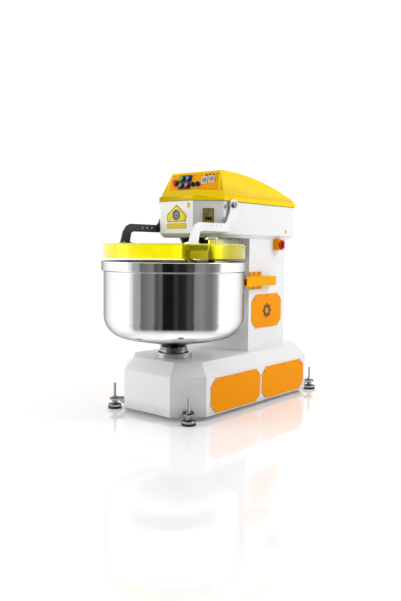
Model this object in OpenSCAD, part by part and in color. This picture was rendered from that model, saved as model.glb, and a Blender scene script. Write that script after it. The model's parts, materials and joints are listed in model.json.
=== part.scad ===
// Commercial spiral dough mixer with a fixed head and a turning bowl.
// Origin: on the floor, under the middle of the machine. +Z is up, the bowl is at the front (-Y).
// Most sub-parts are drawn about the bowl's own axis, and centred() moves them into the frame.

/* [Bowl] */
// Outer radius of the rim band
bowl_r = 475; // [440:5:500]
// Height of the rim above the floor
rim_z = 989; // [960:1:1000]
// Height of the rim band
band_h = 60; // [40:1:80]
// How far the wall sits inside the rim band
band_step = 15; // [8:1:16]
// Thickness of the bowl sheet
bowl_t = 4; // [3:0.5:5]
// Radius of the rounded lower corner
bowl_corner = 150; // [120:5:160]
// Height of the underside of the bowl at its boss
bowl_base_z = 440; // [435:1:445]

/* [Base] */
// Half the width of the base
base_half_w = 362; // [350:1:380]
// Distance from the bowl's axis forward to the base's front
base_front = 256; // [240:1:270]
// Distance from the bowl's axis back to the base's rear
base_rear = 1236; // [1230:1:1260]
// Size of the corner chamfers, seen from above
base_cut = 160; // [140:5:170]
// Height of the gap under the base
base_z0 = 30; // [25:1:35]
// Height at which the sloping shoulder starts
shoulder_z = 282; // [275:1:290]
// Height of the base's top plate
base_top = 362; // [355:1:370]
// How far the shoulder slopes inward
shoulder_in = 67; // [50:1:80]

/* [Column] */
// Half the width of the column
col_half_w = 252; // [245:1:260]
// Distance from the bowl's axis back to the column's front
col_front = 490; // [485:1:495]
// Distance from the bowl's axis back to the column's rear
col_rear = 937; // [930:1:950]

/* [Head] */
// Half the width of the head
head_half_w = 281; // [275:1:285]
// Distance from the bowl's axis back to the head's front
head_front = 19; // [15:1:25]
// Distance from the bowl's axis back to the head's rear
head_rear = 1001; // [995:1:1010]
// Size of the head's front chamfers
head_cut = 140; // [130:1:150]
// Height of the underside of the head
head_z0 = 1145; // [1140:1:1150]
// Height where the cover sits on the head
head_top = 1383; // [1375:1:1390]
// Height of the highest point of the cover
cover_top = 1586; // [1570:1:1600]

/* [Bowl guard] */
// Outer radius of the transparent guard
guard_r = 462; // [458:1:465]
// Height of the guard's top face
guard_top = 1102; // [1098:1:1104]
// Height of the guard's lower edge
guard_z0 = 1010; // [1004:1:1020]

/* [Tools] */
// Distance from the bowl's axis back to the spiral's axis
spiral_y = 220; // [215:1:225]
// Radius of the helix that the spiral's bar follows
coil_r = 150; // [130:1:152]
// Radius of the spiral's bar
coil_bar_r = 22; // [16:1:22]
// Radius of the breaker bar
breaker_r = 24; // [18:1:24]

/* [Levelling feet] */
// Radius of the rubber sole
sole_r = 45; // [40:1:50]
// Radius of the threaded stem
stem_r = 8; // [6:1:10]
// Height of the stem's top end
stem_top = 170; // [150:5:190]
// Thickness of the rubber sole
sole_h = 15; // [10:1:18]

/* [Hidden] */
$fn = 96;
eps = 0.01;          // overlap that makes cuts clean
run = 0.05;          // radial clearance of a running fit
gap = 0.3;           // clearance between moving faces
sheet = 5;           // thickness of the housings' sheet
panel_t = 4;         // thickness of the bolted panels
hull_fn = 32;

// Frame: the machine's depth is centred on Y = 0.
head_bevel = 25;     // size of the bevel round the head's underside
foot_out = 65;       // from a chamfer's face out to its foot's axis
foot_x = base_half_w - base_cut / 2 + foot_out / sqrt(2);
foot_front_y = -base_front + base_cut / 2 - foot_out / sqrt(2);
foot_rear_y = base_rear - base_cut / 2 + foot_out / sqrt(2);
bowl_y = (bowl_r - (foot_rear_y + sole_r)) / 2;

// Bowl
wall_r = bowl_r - band_step;
corner_z = bowl_base_z + 200;   // where the straight wall ends
dish_a = 78;                    // angle that the corner arc turns through
boss_r = 90;                    // flat middle of the bowl's bottom, and the spindle's neck below it
flange_h = 30;                  // height of the bearing housing's flange above the base

// Bolted panels, along Y from the bowl's axis
panel_cut = 48;
base_panel = [538, 222];
base_panel_y = [216, 776];
base_panel_z = 151;
column_panel = [368, 238];
column_panel_y = 709;
column_panel_z = 636;
rear_plate = [360, 560];
rear_plate_z = 720;
screw_r = 2.5;
screw_head_r = 6;

// Control face: a sloping plane on the cover
face_y = 169;
face_z = 1449;
face_tilt = atan(38 / 127);
cover_t = 4;
lip_out = 9;
lip_top = head_top + 28;
nose_top = face_z;
nose_inset = 2;                 // from the head's plan in to the foot of the nose
side_lean = atan(48 / 127);
cover_half_low = 279;           // half width of the cover just above its lip
roof_y = 250;                   // where the roof starts to curve down
roof_r = 1900;

// Buttons and dials, as [across, up] on the control face
button_at = [[-100, 95], [-46, 95], [-100, 48], [-46, 48]];
button_r = 16;
button_press = 4;
block_size = [106, 98];
block_at = [-72, 71];
block_t = 9;                    // height of the block's face above the cover
estop_at = [-154, 67];
selector_at = [[6, 51], [46, 52]];
timer_at = [[98, 75], [158, 80]];
timer_size = 48;
lamp_at = [[103, 114], [132, 114], [161, 114]];
plate_t = 3;                    // thickness of the control plate
dial_z = 12;                    // front face of a timer

// Main switch on the column's right side
switch_y = 820;
switch_z = 1106;
switch_t = 45;

// Guard
guard_t = 4;
guard_open = 44;                // half angle of the opening at the rear
guard_flange = 25;              // width of the guard's top where it is open
pivot_y = 237;
pivot_z = 1357;
pivot_r = 15;
arm_x = 294;                    // inner face of an arm
arm_t = 10;
arm_band = [1182, 1234];        // lower and upper edge of an arm's level stretch

// Spiral, breaker bar and drives
coil_top = 1075;
coil_low = 560;
coil_turns = 1.6;
coil_rings = 84;
shaft_r = 30;
breaker_at = [195, 145];
shield_r = 455;
shield_a = 35;                  // half angle of the rear shield
bowl_pulley_r = 160;
bowl_motor_pulley_r = 50;
bowl_motor_y = 420;
bowl_drive_z = 110;
spiral_pulley_r = 170;
spiral_motor_pulley_r = 60;
spiral_motor_y = 760;
spiral_drive_z = 1290;
belt_w = 40;
belt_t = 6;
housing_r = 105;                // barrel of the bowl's bearing housing
bearing_r = 62;

// Bowl rollers
roller_r = 28;
roller_h = 44;
roller_x = 278;
roller_z = 850;
roller_y = sqrt(pow(wall_r + roller_r + gap, 2) - pow(roller_x, 2));

// Colours
white = "whitesmoke";
amber = "orange";
steel = "silver";
dark = "dimgray";
black = "#202020";

// ---- Helpers -------------------------------------------------------------

module centred() translate([0, bowl_y, 0]) children();

module both_sides() {
    children();
    mirror([1, 0, 0]) children();
}

// Point the child's +Z along +X
module to_right() rotate([0, 90, 0]) children();

// Length of a 45 degree chamfer after its outline is drawn in by d
function cut_after(c, d) = c - d * (2 - sqrt(2));

// Plan outline with chamfered front corners and, where rear_cut isn't 0, rear corners
module plan(half_w, front, rear, front_cut, rear_cut, d = 0) {
    w = half_w - d;
    f = front + d;
    r = rear - d;
    fc = cut_after(front_cut, d);
    rc = cut_after(rear_cut, d);
    back = rear_cut > 0 ? [[w, r - rc], [w - rc, r], [rc - w, r], [-w, r - rc]] : [[w, r], [-w, r]];
    polygon(concat([[-w, f + fc], [fc - w, f], [w - fc, f], [w, f + fc]], back));
}

// Everything between two opposite sides, drawn inward with height. The sides face along angle a,
// and each of the steps is a [height, inset] pair.
module between(a, low, high, steps) {
    far = 3000;
    rotate(a) translate([0, far, 0]) rotate([90, 0, 0]) linear_extrude(2 * far) polygon(concat(
        [for (s = steps) [high - s[1], s[0]]],
        [for (i = [len(steps) - 1 : -1 : 0]) [low + steps[i][1], steps[i][0]]]));
}

// Block on a chamfered plan whose sides all draw inward by the same steps
module stepped_block(half_w, front, rear, front_cut, rear_cut, steps) {
    near_corner = (half_w - front - front_cut) / sqrt(2);
    far_corner = (half_w + rear - rear_cut) / sqrt(2) + (rear_cut > 0 ? 0 : 50);
    intersection() {
        between(0, -half_w, half_w, steps);
        between(90, front, rear, steps);
        between(45, -near_corner, far_corner, steps);
        between(-45, -far_corner, near_corner, steps);
    }
}

// Octagonal sheet with its thickness along +Z
module octagon_sheet(size, cut, t) {
    x = size[0] / 2;
    y = size[1] / 2;
    linear_extrude(t) polygon([[-x, cut - y], [cut - x, -y], [x - cut, -y], [x, cut - y],
        [x, y - cut], [x - cut, y], [cut - x, y], [-x, y - cut]]);
}

// Places around an octagonal panel for its six screws
module panel_screw_places(size, cut) {
    x = size[0] / 2 - cut / 2 - 6;
    y = size[1] / 2 - cut / 2 - 6;
    for (sx = [-1, 1], sy = [-1, 1]) translate([sx * x, sy * y, 0]) children();
    for (sy = [-1, 1]) translate([0, sy * (size[1] / 2 - 12), 0]) children();
}

// Carry a panel drawn in X and Y onto the right side of the machine, its Y upright
module on_side(x, y, z) translate([x, y, z]) rotate([90, 0, 90]) children();

// Carry a panel drawn in X and Y onto the rear of the machine
module on_rear(y, z) translate([0, y, z]) rotate([90, 0, 180]) children();

// Carry a piece drawn in X and Y onto the control face, its +Z out of the face
module on_face(p) {
    translate([p[0], face_y + p[1] * sin(face_tilt), face_z + p[1] * cos(face_tilt)])
        rotate([90 - face_tilt, 0, 0]) children();
}

// Feet, as [side, depth]
module at_foot(side, y) translate([side * foot_x, y, 0]) children();

module at_feet() {
    for (side = [-1, 1], y = [foot_front_y, foot_rear_y]) at_foot(side, y) children();
}

module ring(r_out, r_in, h) {
    difference() {
        cylinder(r = r_out, h = h);
        translate([0, 0, -1]) cylinder(r = r_in, h = h + 2);
    }
}

module hexagon(r, h) cylinder(r = r, h = h, $fn = 6);

module button_screw() {
    rotate_extrude() polygon([[0, -panel_t - sheet], [screw_r, -panel_t - sheet], [screw_r, 0],
        [screw_head_r, 0], [screw_head_r - 1, 2.4], [screw_head_r - 3, 3.4], [0, 3.4]]);
}

module screw_hole() {
    translate([0, 0, -panel_t - sheet - 1]) cylinder(r = screw_r + 0.1, h = panel_t + sheet + 2);
}

// ---- Base ----------------------------------------------------------------

// Solid of the base, with its walls and shoulder moved inward by d
module base_body(d, z0) {
    slope = shoulder_in / (base_top - shoulder_z);
    reach = sqrt(1 + slope * slope);
    stepped_block(base_half_w, -base_front, base_rear, base_cut, base_cut, [[z0, d],
        [shoulder_z - d * (reach - 1) / slope, d], [base_top - d, shoulder_in + d * (reach - slope)]]);
}

module base_side_panel_places() {
    for (y = base_panel_y) on_side(base_half_w, y, base_panel_z) children();
}

module base_housing() {
    color(white) centred() difference() {
        base_body(0, base_z0);
        base_body(sheet, base_z0 - 1);
        translate([0, 0, base_top - 2 * sheet]) cylinder(r = housing_r + 0.2, h = 3 * sheet);
        both_sides() base_side_panel_places() {
            translate([0, 0, -2 * sheet]) octagon_sheet(base_panel - [76, 76], 24, 3 * sheet);
            translate([0, 0, panel_t]) panel_screw_places(base_panel, panel_cut) screw_hole();
        }
    }
}

module base_frame() {
    rail_x = 215;
    rail = 60;
    color(dark) centred() {
        both_sides() translate([rail_x, -160, 40]) cube([rail, base_rear + 60, rail]);
        for (y = [-140, 540, 1090]) translate([-rail_x, y, 40]) cube([2 * rail_x, rail, rail]);
    }
}

module base_panels() {
    color(amber) centred() both_sides() for (y = base_panel_y)
        on_side(base_half_w, y, base_panel_z) difference() {
            octagon_sheet(base_panel, panel_cut, panel_t);
            translate([0, 0, panel_t]) panel_screw_places(base_panel, panel_cut) screw_hole();
        }
}

module foot_brackets() {
    lug_z = 58;
    lug_t = 12;
    lug_w = 34;
    rib_t = 6;
    color(steel) centred() at_four_chamfers() difference() {
        union() {
            translate([-lug_w, 0, lug_z]) cube([2 * lug_w, foot_out, lug_t]);
            translate([0, foot_out, lug_z]) cylinder(r = lug_w, h = lug_t);
            for (x = [-lug_w, lug_w - rib_t]) translate([x + rib_t, 0, lug_z]) rotate([0, -90, 0])
                linear_extrude(rib_t) polygon([[1, 0], [1, 34], [-6, 34], [-24, 8], [-24, 0]]);
        }
        translate([0, foot_out, 0]) cylinder(r = stem_r + run, h = 200);
    }
}

// Carry a piece whose +Y points outward onto the middle of each corner chamfer
module at_four_chamfers() {
    x = base_half_w - base_cut / 2;
    for (side = [-1, 1]) {
        translate([side * x, -base_front + base_cut / 2, 0]) rotate(180 + side * 45) children();
        translate([side * x, base_rear - base_cut / 2, 0]) rotate(-side * 45) children();
    }
}

// Foot with its stem, clamping collar and steel pad, drawn about its own axis
module levelling_foot(side, y) {
    color(steel) centred() at_foot(side, y) {
        rotate_extrude() polygon([[0, sole_h], [sole_r - 1, sole_h], [sole_r - 1, 26], [sole_r - 4, 29],
            [24, 33], [stem_r, 33], [stem_r, stem_top - 2], [stem_r - 2, stem_top], [0, stem_top]]);
        translate([0, 0, 32.9]) difference() {
            hexagon(16, 11);
            translate([0, 0, -1]) cylinder(r = stem_r - 1, h = 22);
        }
    }
}

module foot_rubber(side, y) {
    color(black) centred() at_foot(side, y)
        rotate_extrude() polygon([[0, 0], [sole_r - 2, 0], [sole_r, 2], [sole_r, sole_h], [0, sole_h]]);
}

module levelling_foot_front_left() levelling_foot(-1, foot_front_y);
module levelling_foot_front_right() levelling_foot(1, foot_front_y);
module levelling_foot_rear_left() levelling_foot(-1, foot_rear_y);
module levelling_foot_rear_right() levelling_foot(1, foot_rear_y);
module foot_rubber_front_left() foot_rubber(-1, foot_front_y);
module foot_rubber_front_right() foot_rubber(1, foot_front_y);
module foot_rubber_rear_left() foot_rubber(-1, foot_rear_y);
module foot_rubber_rear_right() foot_rubber(1, foot_rear_y);

// ---- Column --------------------------------------------------------------

module column_box(d, z0, z1) {
    translate([d - col_half_w, col_front + d, z0])
        cube([2 * (col_half_w - d), col_rear - col_front - 2 * d, z1 - z0]);
}

module column_housing() {
    color(white) centred() difference() {
        column_box(0, base_top, head_z0);
        column_box(sheet, base_top + sheet, head_z0 + 1);
        both_sides() on_side(col_half_w, column_panel_y, column_panel_z) {
            translate([0, 0, -2 * sheet]) octagon_sheet(column_panel - [76, 76], 24, 3 * sheet);
            translate([0, 0, panel_t]) panel_screw_places(column_panel, panel_cut) screw_hole();
        }
        on_rear(col_rear, rear_plate_z) {
            translate([-140, -240, -2 * sheet]) cube([280, 480, 3 * sheet]);
            translate([0, 0, panel_t]) rear_screw_places() screw_hole();
        }
        gland_place() cylinder(r = 12, h = 20, center = true);
    }
}

module column_panels() {
    color(amber) centred() both_sides() on_side(col_half_w, column_panel_y, column_panel_z)
        difference() {
            octagon_sheet(column_panel, panel_cut, panel_t);
            translate([0, 0, panel_t]) panel_screw_places(column_panel, panel_cut) screw_hole();
        }
}

// Flat cogwheel sign on each column panel
module column_emblem() {
    color("saddlebrown") centred() both_sides()
        on_side(col_half_w + panel_t, column_panel_y, column_panel_z) difference() {
            union() {
                cylinder(r = 40, h = 2);
                for (a = [0 : 45 : 315]) rotate(a) translate([-9, 0, 0]) cube([18, 52, 2]);
            }
            translate([0, 0, -1]) cylinder(r = 22, h = 4);
        }
}

module rear_screw_places() {
    for (x = [-168, 168], y = [-268, 0, 268]) translate([x, y, 0]) children();
}

module rear_panel() {
    color(white) centred() on_rear(col_rear, rear_plate_z) difference() {
        translate([-rear_plate[0] / 2, -rear_plate[1] / 2, 0])
            cube([rear_plate[0], rear_plate[1], panel_t]);
        for (x = [-80, 80], i = [0 : 9]) translate([x - 55, 60 + i * 16, -1]) cube([110, 7, panel_t + 2]);
        translate([0, 0, panel_t]) rear_screw_places() screw_hole();
    }
}

module gland_place() translate([-150, col_rear, 410]) rotate([-90, 0, 0]) children();

module cable_gland() {
    color(black) centred() gland_place() difference() {
        union() {
            translate([0, 0, -14]) cylinder(r = 11.8, h = 14 + eps);
            hexagon(19, 9);
            translate([0, 0, 9 - eps]) cylinder(r1 = 15, r2 = 11, h = 20);
        }
        translate([0, 0, -15]) cylinder(r = 6.5, h = 50);
    }
}

module electrical_plate() {
    y = col_rear - 60;
    color(dark) centred() {
        translate([-180, y, 460]) cube([360, 3, 540]);
        for (x = [-150 : 60 : 90], z = [520, 700, 880]) translate([x, y - 80, z]) cube([45, 80, 90]);
    }
}

// Arm that carries one bowl roller behind a side plate, drawn on the right side
module roller_bracket() {
    arm = [262, 302];                   // inner and outer face along X
    plate = [roller_x + roller_r + 3, roller_x + roller_r + 9];
    plate_y = roller_y - 18;
    top = roller_z + 33;
    bottom = roller_z - 33;
    ear_t = (top - bottom - roller_h) / 2 - gap;
    difference() {
        union() {
            translate([col_half_w, col_front + 2, roller_z - 57]) cube([10, 140, 123]);
            translate([arm[0], 436, bottom]) cube([arm[1] - arm[0], 316, top - bottom]);
            for (z = [bottom, top - ear_t]) translate([0, 0, z]) linear_extrude(ear_t) hull() {
                translate([roller_x, roller_y]) circle(r = 22, $fn = hull_fn);
                translate([arm[0], 436]) square([arm[1] - arm[0], 20]);
                translate([plate[0], plate_y]) square([plate[1] - plate[0], 456 - plate_y]);
            }
            translate([plate[0], plate_y, bottom]) cube([plate[1] - plate[0], 456 - plate_y, top - bottom]);
            translate([arm[0], 440, bottom]) cube([plate[1] - arm[0], 16, top - bottom]);
        }
        translate([roller_x, roller_y, 0]) cylinder(r = 8 + run, h = 2000);
        bracket_bolt_places() translate([0, 0, -20]) cylinder(r = 5.2, h = 30);
    }
}

module bracket_bolt_places() {
    for (y = [536, 596], z = [-48, 57]) on_side(col_half_w + 10, y, roller_z + z) children();
}

module roller_brackets() {
    color(amber) centred() both_sides() roller_bracket();
}

module bowl_roller(side) {
    color("ivory") centred() translate([side * roller_x, roller_y, roller_z - roller_h / 2])
        difference() {
            rotate_extrude() polygon([[0, 0], [roller_r - 3, 0], [roller_r, 3],
                [roller_r, roller_h - 3], [roller_r - 3, roller_h], [0, roller_h]]);
            translate([0, 0, -1]) cylinder(r = 8 + 2 * run, h = roller_h + 2);
        }
}

module bowl_roller_left() bowl_roller(-1);
module bowl_roller_right() bowl_roller(1);

module main_switch_box() {
    color(amber) centred() difference() {
        on_side(col_half_w, switch_y, switch_z) translate([-35, -38, 0]) cube([70, 76, switch_t]);
        on_side(col_half_w + switch_t, switch_y, switch_z)
            translate([0, 0, -12]) cylinder(r = 6 + run, h = 20);
    }
}

module main_switch_knob() {
    color("red") centred() on_side(col_half_w + switch_t + gap, switch_y, switch_z) {
        rotate_extrude() polygon([[0, -10], [6, -10], [6, 0], [32, 0], [32, 6], [29, 10], [0, 10]]);
        translate([-8, -27, 9]) cube([16, 54, 16]);
    }
}

// ---- Head ----------------------------------------------------------------

module head_layer(z, d, h) {
    translate([0, 0, z]) linear_extrude(h)
        plan(head_half_w, head_front, head_rear, head_cut, 0, d);
}

// Solid of the head with its bevelled underside, moved inward by d
module head_body(d, top) {
    stepped_block(head_half_w, head_front, head_rear, head_cut, 0, [
        [head_z0 + d, head_bevel + d * (sqrt(2) - 1)],
        [head_z0 + head_bevel + d * (sqrt(2) - 1), d], [top, d]]);
}

module head_housing() {
    color(white) centred() difference() {
        union() {
            difference() {
                head_body(0, head_top);
                head_body(sheet, head_top + 1);
            }
            translate([0, spiral_y, head_z0 + 1]) cylinder(r = bearing_r + 14, h = 110);
        }
        translate([0, spiral_y, head_z0 - 1]) cylinder(r = bearing_r, h = 120);
        translate([-190, col_front + 60, head_z0 - 1]) cube([380, 330, 2 * sheet]);
    }
}

// Side outline of the cover above its lip, in Y and Z, drawn in by d
module cover_profile(d) {
    slope = tan(face_tilt);
    shift = d / cos(face_tilt);
    y_low = face_y + shift - (face_z - lip_top + 40) * slope;
    y_high = face_y + shift + (cover_top - d - face_z) * slope;
    r = roof_r - d;
    drop = asin((head_rear - 12 - d - roof_y) / r);
    rear = head_rear + 3 - d;
    polygon(concat([[y_low, lip_top - 40], [y_high, cover_top - d]],
        [for (a = [0 : drop / 24 : drop + eps]) [roof_y + r * sin(a), cover_top - roof_r + r * cos(a)]],
        [[rear, lip_top + 13 - d], [rear, lip_top - 40]]));
}

// Front outline of the cover, wider at the bottom, in X and Z
module cover_section(d) {
    shift = d / cos(side_lean);
    low = cover_half_low - shift + 40 * tan(side_lean);
    high = cover_half_low - shift - (cover_top - lip_top + 1) * tan(side_lean);
    polygon([[-low, lip_top - 40], [low, lip_top - 40], [high, cover_top + 1], [-high, cover_top + 1]]);
}

module cover_hood(d) {
    intersection() {
        translate([-400, 0, 0]) rotate([90, 0, 90]) linear_extrude(800) cover_profile(d);
        translate([0, 1200, 0]) rotate([90, 0, 0]) linear_extrude(1200) cover_section(d);
        translate([-400, 0, lip_top - (d > 0 ? 20 : 5)]) cube([800, 1200, 400]);
    }
}

// Low chamfered nose in front of the control face
module cover_nose(d) {
    z0 = lip_top - (d > 0 ? 10 : 5);
    lean = tan(side_lean);
    inset = nose_inset + d / cos(side_lean);
    stepped_block(head_half_w, head_front, 500, head_cut, 0,
        [[z0, inset + (z0 - lip_top) * lean], [nose_top - d, inset + (nose_top - d - lip_top) * lean]]);
}

module head_cover() {
    color("gold") centred() difference() {
        union() {
            head_layer(head_top, -lip_out, lip_top - head_top);
            cover_nose(0);
            cover_hood(0);
        }
        head_layer(head_top - 1, sheet + 4, lip_top - head_top + 2);
        cover_nose(cover_t);
        cover_hood(cover_t);
        for (p = concat(button_at, [estop_at])) on_face(p)
            translate([0, 0, -10]) cylinder(r = 10, h = 20);
        for (p = control_screw_at()) on_face(p) translate([0, 0, plate_t]) screw_hole();
    }
}

function control_screw_at() = concat(
    [for (x = [-205, 205]) [x, 10]], [for (x = [-190, 190]) [x, 120]],
    [[0, 8], [0, 122]]);

module control_panel() {
    low = 217;
    high = 197;
    color(amber) centred() difference() {
        on_face([0, 0]) translate([0, 0, run]) linear_extrude(plate_t - run)
            polygon([[-low, 1], [low, 1], [high, 129], [-high, 129]]);
        for (p = concat(button_at, [estop_at])) on_face(p)
            translate([0, 0, -10]) cylinder(r = 9, h = 20);
        for (p = control_screw_at()) on_face(p) translate([0, 0, plate_t]) screw_hole();
    }
}

module button_block() {
    color(black) centred() difference() {
        union() {
            on_face(block_at) translate([0, 0, plate_t]) linear_extrude(block_t - plate_t)
                offset(r = 8, $fn = hull_fn) square(block_size - [16, 16], center = true);
            for (p = button_at) on_face(p) translate([0, 0, plate_t]) cylinder(r = 19.5, h = 12);
        }
        for (p = button_at) on_face(p) {
            translate([0, 0, block_t]) cylinder(r = button_r + 0.4, h = 20);
            cylinder(r = 6 + run, h = 20);
        }
    }
}

module push_button(i) {
    centred() on_face(button_at[i]) rotate_extrude() polygon([[0, -10], [6, -10],
        [6, block_t + button_press + gap], [button_r, block_t + button_press + gap],
        [button_r, 21], [button_r - 2, 23], [0, 23]]);
}

module button_bowl_start() color("limegreen") push_button(0);
module button_bowl_reverse() color("aliceblue") push_button(1);
module button_spiral_start() color("green") push_button(2);
module button_stop() color("red") push_button(3);

module emergency_stop() {
    color("crimson") centred() on_face(estop_at) rotate_extrude() polygon([[0, -10], [8.9, -10],
        [8.9, 16], [16, 18], [20, 22], [20, 28], [15, 32], [7, 34], [0, 34]]);
}

module selector(p) {
    color(black) centred() on_face(p) {
        translate([0, 0, plate_t + gap]) rotate_extrude()
            polygon([[0, 0], [17, 0], [17, 6], [13, 9], [13, 14], [0, 14]]);
        translate([-4.5, -15, plate_t + 10]) cube([9, 30, 16]);
    }
}

module selector_mode() selector(selector_at[0]);
module selector_speed() selector(selector_at[1]);

module timer_housings() {
    color("white") centred() for (p = timer_at) on_face(p) difference() {
        translate([0, 0, plate_t]) linear_extrude(dial_z - plate_t)
            offset(r = 4, $fn = hull_fn) square(timer_size - 8, center = true);
        translate([0, 0, dial_z - 5]) cylinder(r = 3 + run, h = 20);
    }
}

module timer_knob(p) {
    color("slategray") centred() on_face(p) {
        rotate_extrude() polygon([[0, dial_z - 4.5], [3, dial_z - 4.5], [3, dial_z + gap],
            [15, dial_z + gap], [14, dial_z + 8], [0, dial_z + 8]]);
        translate([-2, 3, dial_z + 7.9]) cube([4, 10, 1.6]);
    }
}

module timer_knob_slow() timer_knob(timer_at[0]);
module timer_knob_fast() timer_knob(timer_at[1]);

module signal_lamps() {
    color("darkred") centred() for (p = lamp_at) on_face(p) translate([0, 0, plate_t])
        rotate_extrude() polygon([[0, 0], [6.5, 0], [6.5, 3], [5, 3], [4.5, 6], [2.5, 7.5], [0, 7.5]]);
}

// Plain five-sided badge with a bar below it
module head_badge() {
    color("yellow") centred() translate([0, head_front, 0]) rotate([90, 0, 0]) linear_extrude(3) {
        polygon([[-80, 1244], [80, 1244], [84, 1292], [0, 1358], [-84, 1292]]);
        translate([-84, 1202]) square([168, 34]);
    }
}

module temperature_display() {
    color("darkkhaki") centred()
        translate([head_half_w - head_cut / 2, head_front + head_cut / 2, 1285])
            rotate([90, 0, 45]) translate([-36, -47, 0]) difference() {
                cube([72, 94, 5]);
                translate([12, 16, 3]) cube([48, 24, 5]);
            }
}

// ---- Guard ---------------------------------------------------------------

module bowl_guard() {
    h = guard_top - guard_z0;
    r = 12;                             // rounding of the top edge
    back = 10;                          // the closed part of the top ends here
    far = 600;
    t = tan(guard_open);
    color("yellow", 0.6) centred() translate([0, 0, guard_z0]) difference() {
        rotate_extrude($fn = 192) polygon(concat([[guard_r - guard_t, 0], [guard_r, 0]],
            [for (a = [0 : 15 : 90]) [guard_r - r + r * cos(a), h - r + r * sin(a)]],
            [[0, h], [0, h - guard_t]],
            [for (a = [90 : -15 : 0])
                [guard_r - r + (r - guard_t) * cos(a), h - r + (r - guard_t) * sin(a)]]));
        intersection() {
            translate([0, 0, h - 2 * guard_t]) cylinder(r = guard_r - guard_flange, h = 20, $fn = 192);
            translate([-far, back, 0]) cube([2 * far, far, 200]);
        }
        translate([0, 0, -1]) linear_extrude(200)
            polygon([[-back * t, back], [back * t, back], [far * t, far], [-far * t, far]]);
    }
}

// Side outline of a guard arm, in Y and Z
module arm_outline() {
    polygon([[-200, guard_top + 6], [-178, 1180], [-145, 1220], [-110, arm_band[1]],
        [145, arm_band[1]], [172, 1258], [195, 1300], [203, 1384], [216, 1392], [258, 1392],
        [271, 1384], [280, 1330], [225, 1206], [204, 1188], [172, arm_band[0]],
        [-85, arm_band[0]], [-104, 1172], [-118, guard_top + 6]]);
}

module guard_arms() {
    color(steel) centred() both_sides() difference() {
        union() {
            translate([arm_x, 0, 0]) rotate([90, 0, 90]) linear_extrude(arm_t) arm_outline();
            translate([arm_x - 30, -204, guard_top]) cube([arm_t + 36, 90, 6 + eps]);
        }
        translate([arm_x - 1, pivot_y, pivot_z]) to_right() cylinder(r = pivot_r + run, h = 20);
        for (y = [5, 50, 95]) translate([arm_x - 1, y, 1208]) to_right() {
            cylinder(r = 6, h = 20);
            translate([-7, 0, 0]) cylinder(r = 6, h = 20);
        }
    }
}

// Pins that carry the arms, and the stop bosses behind them
module guard_pivots() {
    color(dark) centred() both_sides() {
        translate([head_half_w, pivot_y, pivot_z]) to_right() rotate_extrude() polygon([[0, 0],
            [25, 0], [25, 12.5], [pivot_r, 12.5], [pivot_r, 23.5], [21, 23.5], [21, 33], [18, 36], [0, 36]]);
        for (p = [[176, 1346], [160, 1262]]) translate([head_half_w, p[0], p[1]]) to_right()
            cylinder(r = 12, h = 10);
    }
}

// ---- Bowl and its drive --------------------------------------------------

// Half section of the bowl's outer skin from boss to rim band, moved inward by d
function bowl_skin(d) = concat(
    [[0, bowl_base_z + d], [boss_r + d * tan(7), bowl_base_z + d]],
    [for (i = [0 : 12]) let (a = dish_a * (1 - i / 12))
        [wall_r - bowl_corner + (bowl_corner - d) * cos(a), corner_z - (bowl_corner - d) * sin(a)]]);

module bowl() {
    low = rim_z - band_h;
    inner = bowl_skin(bowl_t);
    color(steel) centred() rotate_extrude($fn = 192) polygon(concat(
        bowl_skin(0),
        [[wall_r, low - 6], [bowl_r, low], [bowl_r, rim_z - 4], [bowl_r - 4, rim_z],
            [wall_r - bowl_t + 3, rim_z], [wall_r - bowl_t, rim_z - 3]],
        [for (i = [len(inner) - 1 : -1 : 0]) inner[i]]));
}

module bowl_spindle() {
    foot = bowl_drive_z - 10;
    neck_z = base_top + 10;
    washer_z = bowl_base_z - 12;
    color(steel) centred() rotate_extrude() polygon([[0, foot], [40, foot], [40, neck_z],
        [boss_r, neck_z], [boss_r, washer_z - 2], [boss_r - 2, washer_z], [70, washer_z],
        [70, bowl_base_z], [0, bowl_base_z]]);
}

module bowl_bearing_housing() {
    color(steel) centred() difference() {
        union() {
            translate([0, 0, base_top]) cylinder(r = 122, h = flange_h);
            translate([0, 0, 190]) cylinder(r = housing_r, h = base_top - 190 + eps);
        }
        translate([0, 0, 180]) cylinder(r = bearing_r, h = 220);
        translate([0, 0, base_top + 7]) cylinder(r = boss_r + 12, h = flange_h);
    }
}

// Flat pulley with two flanges, bored for its shaft
module pulley(r, bore) {
    difference() {
        union() {
            cylinder(r = r - 1, h = belt_w + 8);
            cylinder(r = r + belt_t + 6, h = 3);
            translate([0, 0, belt_w + 5]) cylinder(r = r + belt_t + 6, h = 3);
        }
        translate([0, 0, -1]) cylinder(r = bore, h = belt_w + 20);
    }
}

// Belt loop round a pulley at the origin and another at y = reach
module belt(r1, r2, reach) {
    translate([0, 0, 5]) linear_extrude(belt_w - 2) difference() {
        hull() {
            circle(r = r1 + belt_t);
            translate([0, reach]) circle(r = r2 + belt_t);
        }
        hull() {
            circle(r = r1);
            translate([0, reach]) circle(r = r2);
        }
    }
}

// Upright motor, its shaft end at z = 0 and its body above or below
module motor(r, h, shaft_l, up) {
    mirror([0, 0, up ? 0 : 1]) {
        cylinder(r = 14, h = shaft_l);
        translate([0, 0, shaft_l - eps]) cylinder(r = r, h = h);
        for (a = [0 : 30 : 330]) rotate(a) translate([r - 2, -2, shaft_l + 20]) cube([10, 4, h - 40]);
    }
}

module bowl_pulley() {
    color(dark) centred() translate([0, 0, bowl_drive_z]) pulley(bowl_pulley_r, 40);
}

module bowl_motor() {
    color(dark) centred() translate([0, bowl_motor_y, bowl_drive_z - 4])
        motor(85, 160, belt_w + 20, true);
}

module bowl_motor_pulley() {
    color(dark) centred() translate([0, bowl_motor_y, bowl_drive_z])
        pulley(bowl_motor_pulley_r, 14 + run);
}

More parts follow.
